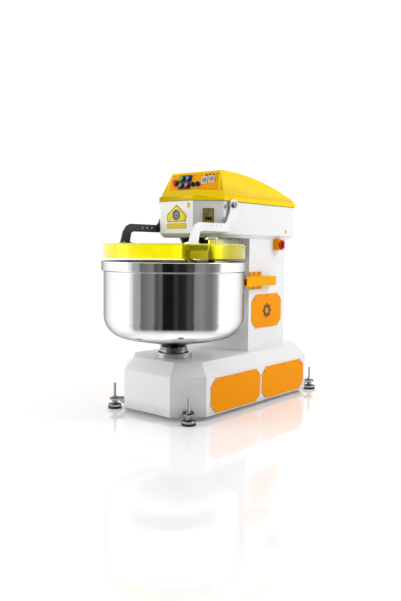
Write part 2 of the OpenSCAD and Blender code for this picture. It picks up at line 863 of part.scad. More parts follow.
module bowl_belt() {
    color(black) centred() translate([0, 0, bowl_drive_z])
        belt(bowl_pulley_r, bowl_motor_pulley_r, bowl_motor_y);
}

// ---- Spiral and its drive ------------------------------------------------

// Helix radius and height of the spiral's bar at t, from 0 at the hub to 1 at the tip
function ease(t) = t <= 0 ? 0 : t >= 1 ? 1 : t * t * (3 - 2 * t);
function coil_radius(t) = 52 + (coil_r - 52) * ease(t / 0.25) - (coil_r - 20) * ease((t - 0.8) / 0.2);
function coil_z(t) = coil_top - (coil_top - coil_low) * (t < 0.8 ? t / 0.8 : 1);
function coil_point(t) = let (a = -150 + 360 * coil_turns * t)
    [coil_radius(t) * cos(a), coil_radius(t) * sin(a), coil_z(t)];
function unit(v) = v / norm(v);
function coil_dir(t) = unit(coil_point(min(t + 0.004, 1)) - coil_point(max(t - 0.004, 0)));

// One ring of the bar's skin, square to its path, thinner near the tip
function coil_ring(t, sides) = let (
        dir = coil_dir(t),
        side = unit(cross([0, 0, 1], dir)),
        up = cross(dir, side),
        r = coil_bar_r * (t < 0.9 ? 1 : 1 - 3.5 * (t - 0.9)))
    [for (k = [0 : sides - 1]) let (a = 360 * k / sides)
        coil_point(t) + r * (cos(a) * side + sin(a) * up)];

module coil_bar() {
    sides = 12;
    n = coil_rings;
    points = [for (i = [0 : n]) each coil_ring(i / n, sides)];
    walls = [for (i = [0 : n - 1], k = [0 : sides - 1]) let (j = (k + 1) % sides)
        [i * sides + k, (i + 1) * sides + k, (i + 1) * sides + j, i * sides + j]];
    first = [for (k = [0 : sides - 1]) k];
    last = [for (k = [sides - 1 : -1 : 0]) n * sides + k];
    polyhedron(points, concat(walls, [first, last]));
}

module spiral_hook() {
    color(black) centred() translate([0, spiral_y, 0]) {
        coil_bar();
        rotate_extrude() polygon([[0, 1060], [74, 1060], [80, 1066], [80, 1094], [97, 1096], [97, 1106],
            [112, 1138], [112, 1142], [40, 1142], [40, 1260], [shaft_r, 1260],
            [shaft_r, spiral_drive_z + belt_w + 12], [0, spiral_drive_z + belt_w + 12]]);
    }
}

module spiral_pulley() {
    color(dark) centred() translate([0, spiral_y, spiral_drive_z]) pulley(spiral_pulley_r, shaft_r);
}

module spiral_motor() {
    color(dark) centred() translate([0, spiral_motor_y, spiral_drive_z + belt_w + 12])
        motor(105, 290, belt_w + 24, false);
}

module spiral_motor_pulley() {
    color(dark) centred() translate([0, spiral_motor_y, spiral_drive_z])
        pulley(spiral_motor_pulley_r, 14 + run);
}

module spiral_belt() {
    color(black) centred() translate([0, spiral_y, spiral_drive_z])
        belt(spiral_pulley_r, spiral_motor_pulley_r, spiral_motor_y - spiral_y);
}

// Two ball bearings on each spindle, shown as plain rings
module spindle_bearings() {
    r = bearing_r - run;
    color(steel) centred() {
        for (z = [200, 340]) translate([0, 0, z]) ring(r, 40 + run, 28);
        for (z = [head_z0 + 5, head_z0 + 80]) translate([0, spiral_y, z]) ring(r, 40 + run, 25);
    }
}

module breaker_bar() {
    color(steel) centred() translate([breaker_at[0], breaker_at[1], 0]) rotate_extrude()
        polygon([[0, 505], [breaker_r - 10, 505], [breaker_r, 515], [breaker_r, head_z0 - 14],
            [48, head_z0 - 14], [48, head_z0], [0, head_z0]]);
}

// Curved sheet behind the tools with a flange that bolts under the head
module rear_shield() {
    low = rim_z + 12;
    color(steel) centred() difference() {
        rotate(90 - shield_a) rotate_extrude(angle = 2 * shield_a, $fn = 192) polygon([
            [shield_r - 3, low], [shield_r, low], [shield_r, head_z0 - gap], [shield_r - 28, head_z0 - gap],
            [shield_r - 28, head_z0 - 3 - gap], [shield_r - 3, head_z0 - 3 - gap]]);
        shield_bolt_places() translate([0, 0, -5]) cylinder(r = 4.2, h = 20);
    }
}

module shield_bolt_places() {
    for (a = [60 : 15 : 120]) rotate(a) translate([shield_r - 16, 0, head_z0 - 3 - gap])
        mirror([0, 0, 1]) children();
}

// ---- Fasteners -----------------------------------------------------------

module panel_screws() {
    color(dark) centred() {
        both_sides() {
            for (y = base_panel_y) on_side(base_half_w + panel_t, y, base_panel_z)
                panel_screw_places(base_panel, panel_cut) button_screw();
            on_side(col_half_w + panel_t, column_panel_y, column_panel_z)
                panel_screw_places(column_panel, panel_cut) button_screw();
        }
        on_rear(col_rear + panel_t, rear_plate_z) rear_screw_places() button_screw();
        for (p = control_screw_at()) on_face(p) translate([0, 0, plate_t]) button_screw();
    }
}

module bolt(r, head_h, shank_l) {
    hexagon(r * 1.9, head_h);
    translate([0, 0, -shank_l]) cylinder(r = r, h = shank_l + eps);
}

module hex_fasteners() {
    color(steel) centred() {
        for (z = [46, 70]) at_feet() translate([0, 0, z]) difference() {
            hexagon(17, 12);
            translate([0, 0, -1]) cylinder(r = stem_r + run, h = 20);
        }
        both_sides() {
            bracket_bolt_places() bolt(5, 7, 10);
            translate([roller_x, roller_y, roller_z + 33]) bolt(8, 8, 66);
        }
        shield_bolt_places() bolt(4, 5, 2.9);
    }
}

// ---- Assembly ------------------------------------------------------------

base_housing();
base_frame();
base_panels();
panel_screws();
foot_brackets();
hex_fasteners();
levelling_foot_front_left();
levelling_foot_front_right();
levelling_foot_rear_left();
levelling_foot_rear_right();
foot_rubber_front_left();
foot_rubber_front_right();
foot_rubber_rear_left();
foot_rubber_rear_right();
column_housing();
column_panels();
column_emblem();
rear_panel();
cable_gland();
electrical_plate();
roller_brackets();
bowl_roller_left();
bowl_roller_right();
main_switch_box();
main_switch_knob();
head_housing();
head_cover();
control_panel();
button_block();
button_bowl_start();
button_bowl_reverse();
button_spiral_start();
button_stop();
emergency_stop();
selector_mode();
selector_speed();
timer_housings();
timer_knob_slow();
timer_knob_fast();
signal_lamps();
head_badge();
temperature_display();
bowl_guard();
guard_arms();
guard_pivots();
bowl();
bowl_spindle();
bowl_bearing_housing();
bowl_pulley();
bowl_motor();
bowl_motor_pulley();
bowl_belt();
spiral_hook();
spiral_pulley();
spiral_motor();
spiral_motor_pulley();
spiral_belt();
spindle_bearings();
breaker_bar();
rear_shield();
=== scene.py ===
"""Looks of the spiral dough mixer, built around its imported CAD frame.

Every piece takes its place and size from the CAD node that it stands for. Lengths are in metres.
"""

import json
from math import atan2, cos, pi, radians, sin, sqrt, tau

import bmesh
import bpy
from mathutils import Matrix, Vector


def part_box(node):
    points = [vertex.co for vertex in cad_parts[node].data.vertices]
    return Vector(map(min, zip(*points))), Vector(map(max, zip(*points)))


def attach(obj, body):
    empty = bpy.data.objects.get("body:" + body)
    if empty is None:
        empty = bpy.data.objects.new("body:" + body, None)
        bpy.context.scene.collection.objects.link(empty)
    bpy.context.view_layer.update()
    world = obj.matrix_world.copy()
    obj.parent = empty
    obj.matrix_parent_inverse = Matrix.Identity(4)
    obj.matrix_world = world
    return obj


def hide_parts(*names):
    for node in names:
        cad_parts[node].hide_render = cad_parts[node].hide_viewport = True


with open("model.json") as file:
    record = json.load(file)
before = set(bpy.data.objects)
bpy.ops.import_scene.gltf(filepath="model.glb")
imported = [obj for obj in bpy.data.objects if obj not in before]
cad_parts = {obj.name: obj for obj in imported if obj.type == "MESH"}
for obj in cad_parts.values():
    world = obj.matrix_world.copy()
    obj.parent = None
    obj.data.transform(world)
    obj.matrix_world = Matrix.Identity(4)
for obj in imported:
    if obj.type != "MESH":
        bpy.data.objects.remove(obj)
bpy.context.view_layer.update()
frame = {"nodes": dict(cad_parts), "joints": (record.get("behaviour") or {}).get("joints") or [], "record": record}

nodes = frame["nodes"]
record = frame["record"]
slot_of = {part["node"]: part["material_slot"] for part in record["subparts"]}
body_of = {node: body for body, group in record["behaviour"]["bodies"].items() for node in group}
axis_of = {joint["child"]: Vector(joint["axis"]) for joint in frame["joints"]}

UP, FRONT, BACK = Vector((0, 0, 1)), Vector((0, -1, 0)), Vector((0, 1, 0))
LEFT, RIGHT = Vector((-1, 0, 0)), Vector((1, 0, 0))
FACE_OUT = -axis_of["mode"].normalized()


def upright_axis(node):
    """Point on the floor below the middle of a CAD node."""
    low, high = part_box(node)
    return Vector(((low.x + high.x) / 2, (low.y + high.y) / 2, 0))


BOWL_AXIS = upright_axis("bowl")
bowl_low, bowl_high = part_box("bowl")
head_low, head_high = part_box("head_housing")
column_low, column_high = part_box("column_housing")
base_low, base_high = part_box("base_housing")


# ---- Places ----

def points_of(node):
    return [v.co.copy() for v in nodes[node].data.vertices]


def solids_of(node):
    """The points of each separate solid in a CAD node."""
    bm = bmesh.new()
    bm.from_mesh(nodes[node].data)
    bmesh.ops.remove_doubles(bm, verts=bm.verts, dist=1e-6)
    groups, seen = [], set()
    for start in bm.verts:
        waiting, group = [start], []
        while waiting:
            vert = waiting.pop()
            if vert not in seen:
                seen.add(vert)
                group.append(vert.co.copy())
                waiting += [edge.other_vert(vert) for edge in vert.link_edges]
        if group:
            groups.append(group)
    bm.free()
    return groups


def middle_of(points):
    return sum(points, Vector()) / len(points)


def outward(points):
    """RIGHT or LEFT, whichever leads away from the machine's middle plane."""
    return RIGHT if middle_of(points).x > 0 else LEFT


def basis(out):
    """Across, up and out directions of a face that looks along out."""
    out = Vector(out).normalized()
    upright = UP if abs(out.z) < 0.9 else BACK
    across = upright.cross(out).normalized()
    return across, out.cross(across), out


def place(origin, out):
    """Matrix that carries a piece drawn on XY, with +Z outward, to origin."""
    return Matrix.Translation(origin) @ Matrix(basis(out)).transposed().to_4x4()


def seat(shape, out):
    """Place at the middle of the lowest level of points or a CAD node along out, and their size there."""
    points = points_of(shape) if isinstance(shape, str) else shape
    axes = basis(out)
    low = [min(p.dot(a) for p in points) for a in axes]
    high = [max(p.dot(a) for p in points) for a in axes]
    origin = axes[0] * (low[0] + high[0]) / 2 + axes[1] * (low[1] + high[1]) / 2 + axes[2] * low[2]
    return place(origin, out), Vector([h - l for l, h in zip(low, high)])


def raised(where, height, across=0, up=0):
    """The same place moved outward by height, and across and up its face."""
    return where @ Matrix.Translation((across, up, height))


# ---- Mesh makers ----

def rounded(points, radius, steps=3, closed=False):
    """Outline with its corners replaced by short curves."""
    points = [Vector(point) for point in points]
    made = []
    for i, corner in enumerate(points):
        if not closed and i in (0, len(points) - 1):
            made.append(corner)
            continue
        before, after = points[i - 1] - corner, points[(i + 1) % len(points)] - corner
        reach = min(radius, before.length * 0.45, after.length * 0.45)
        start, end = corner + before.normalized() * reach, corner + after.normalized() * reach
        for t in [k / steps for k in range(steps + 1)]:
            made.append(start * (1 - t) ** 2 + corner * 2 * t * (1 - t) + end * t * t)
    return made


def polar(radius, angle, height=0.0):
    return Vector((radius * cos(angle), radius * sin(angle), height))


def circle(radius, sides=32):
    return [polar(radius, tau * k / sides) for k in range(sides)]


def box_outline(width, height, centre=(0, 0), corner=0.0):
    x, y = width / 2, height / 2
    points = [(centre[0] + sx * x, centre[1] + sy * y) for sx, sy in ((-1, -1), (1, -1), (1, 1), (-1, 1))]
    return rounded(points, corner, 4, closed=True) if corner else [Vector(p) for p in points]


def inset(outline, distance):
    """Convex outline, drawn counter-clockwise, moved inward."""
    made = []
    flat = [Vector((p[0], p[1])) for p in outline]
    for a, b, c in zip(flat[-1:] + flat, flat, flat[1:] + flat[:1]):
        d1, d2 = (b - a).normalized(), (c - b).normalized()
        n1, n2 = Vector((-d1.y, d1.x)), Vector((-d2.y, d2.x))
        made.append(b + (n1 + n2) * distance / (1 + n1.dot(n2)))
    return made


def ring(bm, outline, height, where):
    """Vertices at an outline's points."""
    return [bm.verts.new(where @ Vector((p[0], p[1], height))) for p in outline]


def loft(bm, rings, closed=False, caps=False):
    """Faces from each ring of vertices to the next. A ring of one vertex is a tip."""
    for a, b in zip(rings, rings[1:] + (rings[:1] if closed else [])):
        count = max(len(a), len(b))
        for k in range(count):
            j = (k + 1) % count
            corners = [a[k % len(a)], a[j % len(a)], b[j % len(b)], b[k % len(b)]]
            face = list(dict.fromkeys(corners))
            if len(face) > 2:
                bm.faces.new(face)
    if caps:
        bm.faces.new(rings[0][::-1])
        bm.faces.new(rings[-1])


def lathe(bm, profile, where=Matrix(), sides=48, closed=False):
    """Turns (radius, height) points about +Z. An open profile starts and ends on the axis."""
    loft(bm, [ring(bm, circle(radius, sides) if radius > 1e-6 else [(0, 0)], height, where)
              for radius, height in profile], closed)


def prism(bm, outline, low, high, where=Matrix(), hole=None):
    """Outline extruded from low to high. A hole has as many points as the outline."""
    bottom, top = ring(bm, outline, low, where), ring(bm, outline, high, where)
    if hole is None:
        loft(bm, [bottom, top], caps=True)
        return
    hole_bottom, hole_top = ring(bm, hole, low, where), ring(bm, hole, high, where)
    loft(bm, [bottom, top, hole_top, hole_bottom], closed=True)


def sweep(bm, path, radius, sides=12, closed=False):
    """Round bar along a path. radius is a number or a function of the share of the way."""
    count = len(path)
    rings = []
    for i, point in enumerate(path):
        ahead = path[(i + 1) % count] if closed else path[min(i + 1, count - 1)]
        behind = path[i - 1] if closed else path[max(i - 1, 0)]
        along = (ahead - behind).normalized()
        level = UP if abs(along.z) < 0.95 else BACK
        side = level.cross(along).normalized()
        lift = along.cross(side)
        r = radius(i / (count - 1)) if callable(radius) else radius
        rings.append([bm.verts.new(point + r * (
            cos(tau * k / sides) * side + sin(tau * k / sides) * lift))
            for k in range(sides)])
    loft(bm, rings, closed, caps=not closed)


def finish_shape(obj, bevel, angle, segments):
    """Smooth shading with rounded edges, and flat faces that stay flat."""
    for polygon in obj.data.polygons:
        polygon.use_smooth = True
    if bevel:
        rounding = obj.modifiers.new("rounding", "BEVEL")
        rounding.width, rounding.segments = bevel, segments
        rounding.limit_method, rounding.angle_limit = "ANGLE", radians(angle)
        rounding.miter_outer = "MITER_ARC"
        flat = obj.modifiers.new("flat_faces", "WEIGHTED_NORMAL")
        flat.keep_sharp, flat.weight = True, 80
    else:
        obj.data.set_sharp_from_angle(angle=radians(angle))


def link_object(name, data):
    obj = bpy.data.objects.new(name, data)
    bpy.context.scene.collection.objects.link(obj)
    return obj


def piece(name, bm, material, body, slot, replaces=(), bevel=0.0, angle=32, segments=2):
    """Object made of the mesh in bm, with the body it rides on. Its material slot is not used."""
    bmesh.ops.recalc_face_normals(bm, faces=bm.faces)
    mesh = bpy.data.meshes.new(name)
    bm.to_mesh(mesh)
    bm.free()
    obj = link_object(name, mesh)
    mesh.materials.append(material)
    finish_shape(obj, bevel, angle, segments)
    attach(obj, body)
    if replaces:
        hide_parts(*replaces)
    return obj


def add(name, bm, material, node, replace=True, **look):
    """Piece that takes its body and slot from a CAD node and stands for it, or has its own (body, slot)."""
    if isinstance(node, tuple):
        return piece(name, bm, material, *node, **look)
    return piece(name, bm, material, body_of[node], slot_of[node], (node,) if replace else (), **look)


def disc(radius, low, high):
    """Profile of a flat round plate."""
    return [(0, low), (radius, low), (radius, high), (0, high)]


def spun(name, material, node, where, profile, sides=48, closed=False, replace=True, **look):
    """Piece made by one turned profile."""
    bm = bmesh.new()
    lathe(bm, profile, where, sides, closed)
    return add(name, bm, material, node, replace, **look)


def plate(name, material, node, where, outline, low, high, hole=None, replace=False, **look):
    """Piece made by one extruded outline."""
    bm = bmesh.new()
    prism(bm, outline, low, high, where, hole)
    return add(name, bm, material, node, replace, **look)


def bead(name, material, slot, plan, corner, height, radius):
    """Level round bar that runs round the machine along a plan with rounded corners."""
    bm = bmesh.new()
    sweep(bm, [Vector((p.x, p.y, height)) for p in rounded(plan, corner, 4, True)], radius, 8, True)
    add(name, bm, material, ("machine", slot))


def skin(node, material, bevel, angle=32, segments=2, name=None, side=0):
    """The CAD node's own shape with its edges rounded, or only what lies on one side of X."""
    data = nodes[node].data
    bm = bmesh.new()
    verts = [bm.verts.new(v.co) for v in data.vertices]
    for polygon in data.polygons:
        if polygon.center.x * side >= 0:
            bm.faces.new([verts[i] for i in polygon.vertices])
    bmesh.ops.delete(bm, geom=[v for v in bm.verts if not v.link_faces], context="VERTS")
    bmesh.ops.remove_doubles(bm, verts=bm.verts, dist=2e-6)
    bmesh.ops.dissolve_degenerate(bm, dist=1e-6, edges=bm.edges)
    bmesh.ops.dissolve_limit(bm, angle_limit=radians(0.3), verts=bm.verts, edges=bm.edges)
    add(name or node + "_skin", bm, material, node, name is None or side < 0,
        bevel=bevel, angle=angle, segments=segments)


# ---- Materials ----

WHITE = (1, 1, 1)


def plug(tree, socket, value):
    """Links a socket to another one, or sets its value. Colours have three numbers."""
    if isinstance(value, bpy.types.NodeSocket):
        tree.links.new(value, socket)
    elif socket.type == "RGBA":
        socket.default_value = (*value, 1)
    else:
        socket.default_value = value


def shader_node(tree, kind, operation=None, *values, **inputs):
    """New node, with its inputs given in their order or by name."""
    made = tree.nodes.new("ShaderNode" + kind)
    if operation:
        made.operation = operation
    for socket, value in zip(made.inputs, values):
        plug(tree, socket, value)
    for name, value in inputs.items():
        plug(tree, made.inputs[name.replace("_", " ")], value)
    return made


class Finish:
    """One procedural material, built up from noise over the object's own coordinates."""

    def __init__(self, name, color, roughness, **sockets):
        self.material = bpy.data.materials.new(name)
        self.material.use_nodes = True
        self.tree = self.material.node_tree
        self.shader = self.tree.nodes["Principled BSDF"]
        self.color, self.roughness = color, roughness
        self.set("Base Color", color)
        self.set("Roughness", roughness)
        for socket, value in sockets.items():
            self.set(socket.replace("_", " "), value)
        self.coords = self.node("TexCoord").outputs["Object"]

    def set(self, socket, value):
        plug(self.tree, self.shader.inputs[socket], value)

    def node(self, kind, operation=None, *values, **inputs):
        return shader_node(self.tree, kind, operation, *values, **inputs)

    def noise(self, scale, stretch=(1, 1, 1), detail=3.0, source=None):
        """Noise from 0 to 1, with its cells scale per metre, drawn out where stretch is small."""
        where = self.node("Mapping", Vector=source or self.coords, Scale=stretch)
        return self.node("TexNoise", Vector=where.outputs[0], Scale=scale, Detail=detail).outputs[0]

    def rings(self, centre):
        """Coordinates that run out from an upright axis and up it, so that noise turns to rings."""
        moved = self.node("VectorMath", "SUBTRACT", self.coords, (centre.x, centre.y, 0))
        split = self.node("SeparateXYZ", Vector=moved.outputs[0]).outputs
        squares = [self.node("Math", "MULTIPLY", split[axis], split[axis]).outputs[0] for axis in "XY"]
        total = self.node("Math", "ADD", *squares)
        root = self.node("Math", "SQRT", total.outputs[0])
        return self.node("CombineXYZ", X=root.outputs[0], Y=split["Z"]).outputs[0]

    def remap(self, value, low=0, high=1, from_low=0.3, from_high=0.7):
        return self.node("MapRange", Value=value, From_Min=from_low, From_Max=from_high,
                         To_Min=low, To_Max=high).outputs[0]

    def mix(self, share, a, b):
        made = self.node("Mix")
        made.data_type = "RGBA"
        for index, value in ((0, share), (6, a), (7, b)):
            plug(self.tree, made.inputs[index], value)
        return made.outputs[2]

    def vary_color(self, value, other):
        self.set("Base Color", self.mix(self.remap(value), self.color, other))

    def vary_roughness(self, value, low, high):
        """Roughness between low and high times the plain one."""
        self.set("Roughness", self.remap(value, self.roughness * low, self.roughness * high))

    def bump(self, value, strength, distance=0.001):
        """Adds a relief, on top of any that is already there."""
        made = self.node("Bump", Height=value, Strength=strength, Distance=distance)
        normal = self.shader.inputs["Normal"]
        if normal.is_linked:
            plug(self.tree, made.inputs["Normal"], normal.links[0].from_socket)
        self.set("Normal", made.outputs[0])

    def paint_film(self, peel):
        """Orange peel, slow waves, and scuffs that are duller than the rest."""
        self.vary_roughness(self.noise(26, detail=6), 0.9, 1.15)
        self.bump(self.noise(420, detail=2), peel, 0.0006)
        self.bump(self.noise(2.2, detail=1), 0.05, 0.004)


def shade(color, factor):
    return tuple(min(1.0, c * factor) for c in color)


def powder_coat(name, color, roughness, tint=0.93, peel=0.16, gloss=0.4):
    """Baked paint with faint clouding."""
    made = Finish(name, color, roughness, Specular_IOR_Level=gloss)
    made.vary_color(made.noise(3.5, detail=5), shade(color, tint))
    made.paint_film(peel)
    return made.material


def base_coat(name, color, roughness):
    """The same paint low on the machine, with darker grey patches near its bottom that fade out with height."""
    made = Finish(name, color, roughness, Specular_IOR_Level=0.4)
    height = made.node("SeparateXYZ", Vector=made.coords).outputs["Z"]
    darkening_top = base_low.z + 0.07
    fade = made.remap(height, 1, 0, base_low.z, darkening_top)
    low_darkening = made.node("Math", "MULTIPLY", fade, made.noise(38, (1, 1, 2.5), 6))
    clean = made.mix(made.remap(made.noise(3.5, detail=5)), color, shade(color, 0.95))
    low_grey = (0.42, 0.4, 0.37)
    made.set("Base Color", made.mix(low_darkening.outputs[0], clean, low_grey))
    made.paint_film(0.16)
    return made.material


def brushed(name, color, roughness, stretch, lines=0.25, **sockets):
    """Steel with straight brush lines along the direction where stretch is small."""
    made = Finish(name, color, roughness, Metallic=1.0, **sockets)
    line = made.noise(380, stretch, 4)
    made.vary_color(made.noise(9, detail=4), shade(color, 0.86))
    made.vary_roughness(line, 0.75, 1.4)
    made.bump(line, lines, 0.0004)
    return made.material


def turned(name, color, roughness, centre, lines=0.12, scale=240, **sockets):
    """Steel that was polished while it turned, so that its marks run round an upright axis."""
    made = Finish(name, color, roughness, Metallic=1.0, **sockets)
    line = made.noise(scale, (1, 1, 1), 5, made.rings(centre))
    smudge = made.noise(7, (1, 1, 0.6), 6)
    made.vary_color(smudge, shade(color, 0.93))
    made.vary_roughness(smudge, 0.7, 1.5)
    made.bump(line, lines, 0.0004)
    return made.material


def moulded(name, color, roughness, grain=0.12, scale=900, **sockets):
    """Moulded plastic with a fine grain."""
    made = Finish(name, color, roughness, **sockets)
    made.vary_color(made.noise(40, detail=3), shade(color, 0.85))
    made.vary_roughness(made.noise(120, detail=4), 0.75, 1.3)
    made.bump(made.noise(scale, detail=2), grain, 0.0004)
    return made.material


def cast(name, color, roughness, metallic=0.0, grain=0.5):
    """Rough casting under paint or bare."""
    made = Finish(name, color, roughness, Metallic=metallic)
    made.vary_color(made.noise(30, detail=6), shade(color, 0.7))
    made.vary_roughness(made.noise(60, detail=4), 0.8, 1.2)
    made.bump(made.noise(260, detail=4), grain)
    return made.material


def guard_clear():
    """Tinted clear sheet, with faint flow lines and fine scratches, and a faint yellow glow that is painted light.
    """
    made = Finish("guard_clear", (1.0, 0.95, 0.01), 0.05, Transmission_Weight=0.93, IOR=1.4,
                  Coat_Weight=0.3, Coat_Roughness=0.04,
                  Emission_Color=(0.9, 0.8, 0.0), Emission_Strength=0.03)
    made.vary_color(made.noise(5, (1, 1, 4), 4), (1.0, 0.9, 0.01))
    made.vary_roughness(made.noise(90, detail=5), 0.6, 1.6)
    made.bump(made.noise(6, (1, 1, 3), 2), 0.05, 0.003)
    return made.material


def glow(name, color, strength):
    made = Finish(name, shade(color, 0.4), 0.4, Emission_Color=color, Emission_Strength=strength)
    made.vary_roughness(made.noise(200), 0.75, 1.25)
    return made.material


WHITE_RGB, YELLOW_RGB, AMBER_RGB = (0.84, 0.845, 0.85), (1.0, 0.68, 0.0), (0.95, 0.33, 0.0)
white_paint = powder_coat("white_coat", WHITE_RGB, 0.32, 0.96)
white_base = base_coat("white_base_coat", WHITE_RGB, 0.34)
yellow_paint = powder_coat("yellow_coat", YELLOW_RGB, 0.25, 0.97, 0.03, 0.08)
amber_paint = powder_coat("amber_coat", AMBER_RGB, 0.4, 0.95, 0.14, 0.04)
bracket_paint = powder_coat("bracket_coat", (0.95, 0.42, 0.0), 0.4, 0.95, 0.14, 0.04)
panel_print = powder_coat("panel_print", (1.0, 0.44, 0.0), 0.4, 0.96, 0.06, 0.05)
brown_paint = powder_coat("brown_coat", (0.11, 0.035, 0.008), 0.4, 0.8)
olive_print = powder_coat("olive_print", (0.3, 0.235, 0.05), 0.35, 0.85, 0.05)
badge_yellow = powder_coat("badge_yellow", (1.0, 0.8, 0.0), 0.35, 0.95, 0.04, 0.08)
badge_blue = powder_coat("badge_blue", (0.008, 0.05, 0.3), 0.35, 0.8, 0.04, 0.08)
badge_dark = powder_coat("badge_dark", (0.09, 0.08, 0.02), 0.35, 0.8, 0.04)
ink_white = powder_coat("ink_white", (0.85, 0.85, 0.85), 0.35, 0.95, 0.04)
ink_black = powder_coat("ink_black", (0.015, 0.015, 0.018), 0.4, 0.8, 0.04)
bowl_polish = turned("bowl_polish", (0.95, 0.95, 0.955), 0.035, BOWL_AXIS, 0.04,
                     Specular_Tint=(0.38, 0.38, 0.39))
# Steel for the inside of the bowl and the top of its lip, much darker than the outside: painted shade.
bowl_inside_painted_shade = turned("bowl_inside_painted_shade", (0.24, 0.24, 0.245), 0.25, BOWL_AXIS, 0.15)
flange_steel = turned("flange_steel", (0.62, 0.62, 0.63), 0.25, BOWL_AXIS, 0.3, 420)
# The neck under the bowl: turned steel made darker than the flange, which is painted shade under the bowl.
neck_steel_painted_shade = turned("neck_steel_painted_shade", (0.35, 0.35, 0.355), 0.2, BOWL_AXIS, 0.3, 420)
zinc = brushed("zinc_plate", (0.36, 0.365, 0.37), 0.18, (1, 1, 1), 0.1, Specular_Tint=(0.3, 0.3, 0.3))
arm_steel = brushed("arm_steel", (0.78, 0.78, 0.79), 0.3, (1, 0.05, 1), 0.3)
# The left arm's steel is the right arm's steel made far darker, which is painted shade.
arm_painted_shade = brushed("arm_steel_painted_shade", (0.11, 0.11, 0.115), 0.35, (1, 0.05, 1), 0.3)
shield_steel = brushed("shield_steel", (0.5, 0.5, 0.51), 0.3, (1, 1, 0.03), 0.25)
chrome = brushed("bar_chrome", (0.85, 0.85, 0.86), 0.08, (1, 1, 0.05), 0.06)
# Stainless hook made near black: painted shade and painted dark reflection from inside the bowl.
hook_steel = brushed("hook_steel", (0.16, 0.16, 0.17), 0.3, (1, 1, 0.3), 0.2)
frame_steel = cast("frame_steel", (0.2, 0.2, 0.21), 0.5, 0.9, 0.3)
pulley_iron = cast("pulley_iron", (0.3, 0.3, 0.31), 0.4, 0.9, 0.3)
motor_paint = cast("motor_paint", (0.04, 0.09, 0.17), 0.45)
rubber = moulded("sole_rubber", (0.012, 0.012, 0.012), 0.7, 0.35, 500)
belt_rubber = moulded("belt_rubber", (0.015, 0.015, 0.015), 0.6, 0.3, 500)
black_plastic = moulded("black_plastic", (0.012, 0.013, 0.016), 0.3)
navy_plastic = moulded("navy_plastic", (0.012, 0.018, 0.06), 0.28)
nylon = moulded("roller_nylon", (0.05, 0.045, 0.04), 0.45, 0.2, 600)
green_plastic = moulded("green_plastic", (0.0, 0.3, 0.035), 0.18, 0.03)
white_plastic = moulded("white_plastic", (0.72, 0.74, 0.78), 0.25, 0.03)
blue_plastic = moulded("blue_plastic", (0.03, 0.1, 0.5), 0.18, 0.03)
red_plastic = moulded("red_plastic", (0.6, 0.006, 0.008), 0.2, 0.03)
lamp_plastic = moulded("lamp_plastic", (0.14, 0.004, 0.003), 0.08, 0.02, Transmission_Weight=0.3)
dial_grey = moulded("dial_grey", (0.28, 0.32, 0.4), 0.35)
window_dark = moulded("window_dark", (0.03, 0.008, 0.004), 0.08, 0.01)
digit_glow = glow("digit_glow", (0.9, 0.1, 0.02), 0.12)
clear_yellow = guard_clear()


# CAD nodes that keep their own shape: material, edge rounding, its segments, and the nodes.
SKINS = [
    (white_base, 0.004, 3, "base_housing"),
    (white_paint, 0.004, 3, "column_housing", "head_housing"),
    (white_paint, 0.001, 2, "rear_panel"),
    (yellow_paint, 0.0028, 3, "head_cover"),
    (amber_paint, 0.0012, 2, "base_panels", "column_panels"),
    (amber_paint, 0.003, 3, "main_switch_box"),
    (bracket_paint, 0.0015, 2, "roller_brackets"),
    (brown_paint, 0.0006, 2, "column_emblem"),
    (panel_print, 0.0006, 2, "control_panel"),
    (navy_plastic, 0.0012, 3, "button_block"),
    (black_plastic, 0.0008, 2, "cable_gland"),
    (zinc, 0.0015, 2, "foot_brackets"),
    (zinc, 0.0012, 2, "spindle_bearings"),
    (frame_steel, 0.003, 2, "base_frame"),
    (frame_steel, 0.001, 2, "electrical_plate"),
    (shield_steel, 0.0008, 2, "rear_shield"),
    (pulley_iron, 0.0012, 2, "bowl_pulley", "bowl_motor_pulley", "spiral_pulley", "spiral_motor_pulley"),
    (motor_paint, 0.0015, 2, "bowl_motor", "spiral_motor"),
    (belt_rubber, 0.0012, 2, "bowl_belt", "spiral_belt"),
]


# ---- Small parts shared by many pieces ----

def screw_head(bm, where, radius, height):
    """Button head with a hexagon socket."""
    lathe(bm, rounded([(0, 0), (radius, 0), (radius, height * 0.35), (radius * 0.62, height),
                       (radius * 0.42, height)], radius * 0.12)
          + [Vector((radius * 0.4, height * 0.45)), Vector((0, height * 0.4))], where, 24)


def hex_head(bm, where, radius, height, bore=0.0):
    """Hexagon with its top corners turned off: a solid head with a raised boss, or a bored nut."""
    outline = circle(radius, 6)
    rings = [ring(bm, outline, 0, where), ring(bm, outline, height * 0.82, where),
             ring(bm, inset(outline, radius * 0.09), height, where)]
    if bore:
        bore_line = circle(bore, 6)
        loft(bm, rings + [ring(bm, bore_line, height, where), ring(bm, bore_line, 0, where)], closed=True)
        return
    loft(bm, rings, caps=True)
    flat_radius = radius * cos(pi / 6)
    lathe(bm, [(0, height * 0.98), (flat_radius * 0.8, height * 0.98),
               (flat_radius * 0.72, height * 1.08), (0, height * 1.08)], where, 24)


def threaded(bm, where, radius, low, high, pitch=0.003):
    """Stem with a rolled thread: one ridge that climbs round it."""
    sides, core = 16, radius - pitch * 0.3
    steps = int((high - low) / pitch * sides)
    rows = []
    for i in range(steps + 1):
        height = low + (high - low) * i / steps
        rows.append([bm.verts.new(where @ polar(r, tau * i / sides, min(height + rise, high)))
                     for r, rise in ((core, 0), (radius, pitch / 2))])
    for a, b in zip(rows, rows[1:]):
        bm.faces.new([a[0], b[0], b[1], a[1]])
    for a, b, c, d in zip(rows, rows[1:], rows[sides:], rows[sides + 1:]):
        bm.faces.new([a[1], b[1], d[0], c[0]])
    lathe(bm, [(0, low), (core, low), (core, high - 0.002), (core - 0.0015, high), (0, high)], where, 16)


# ---- Base and feet ----

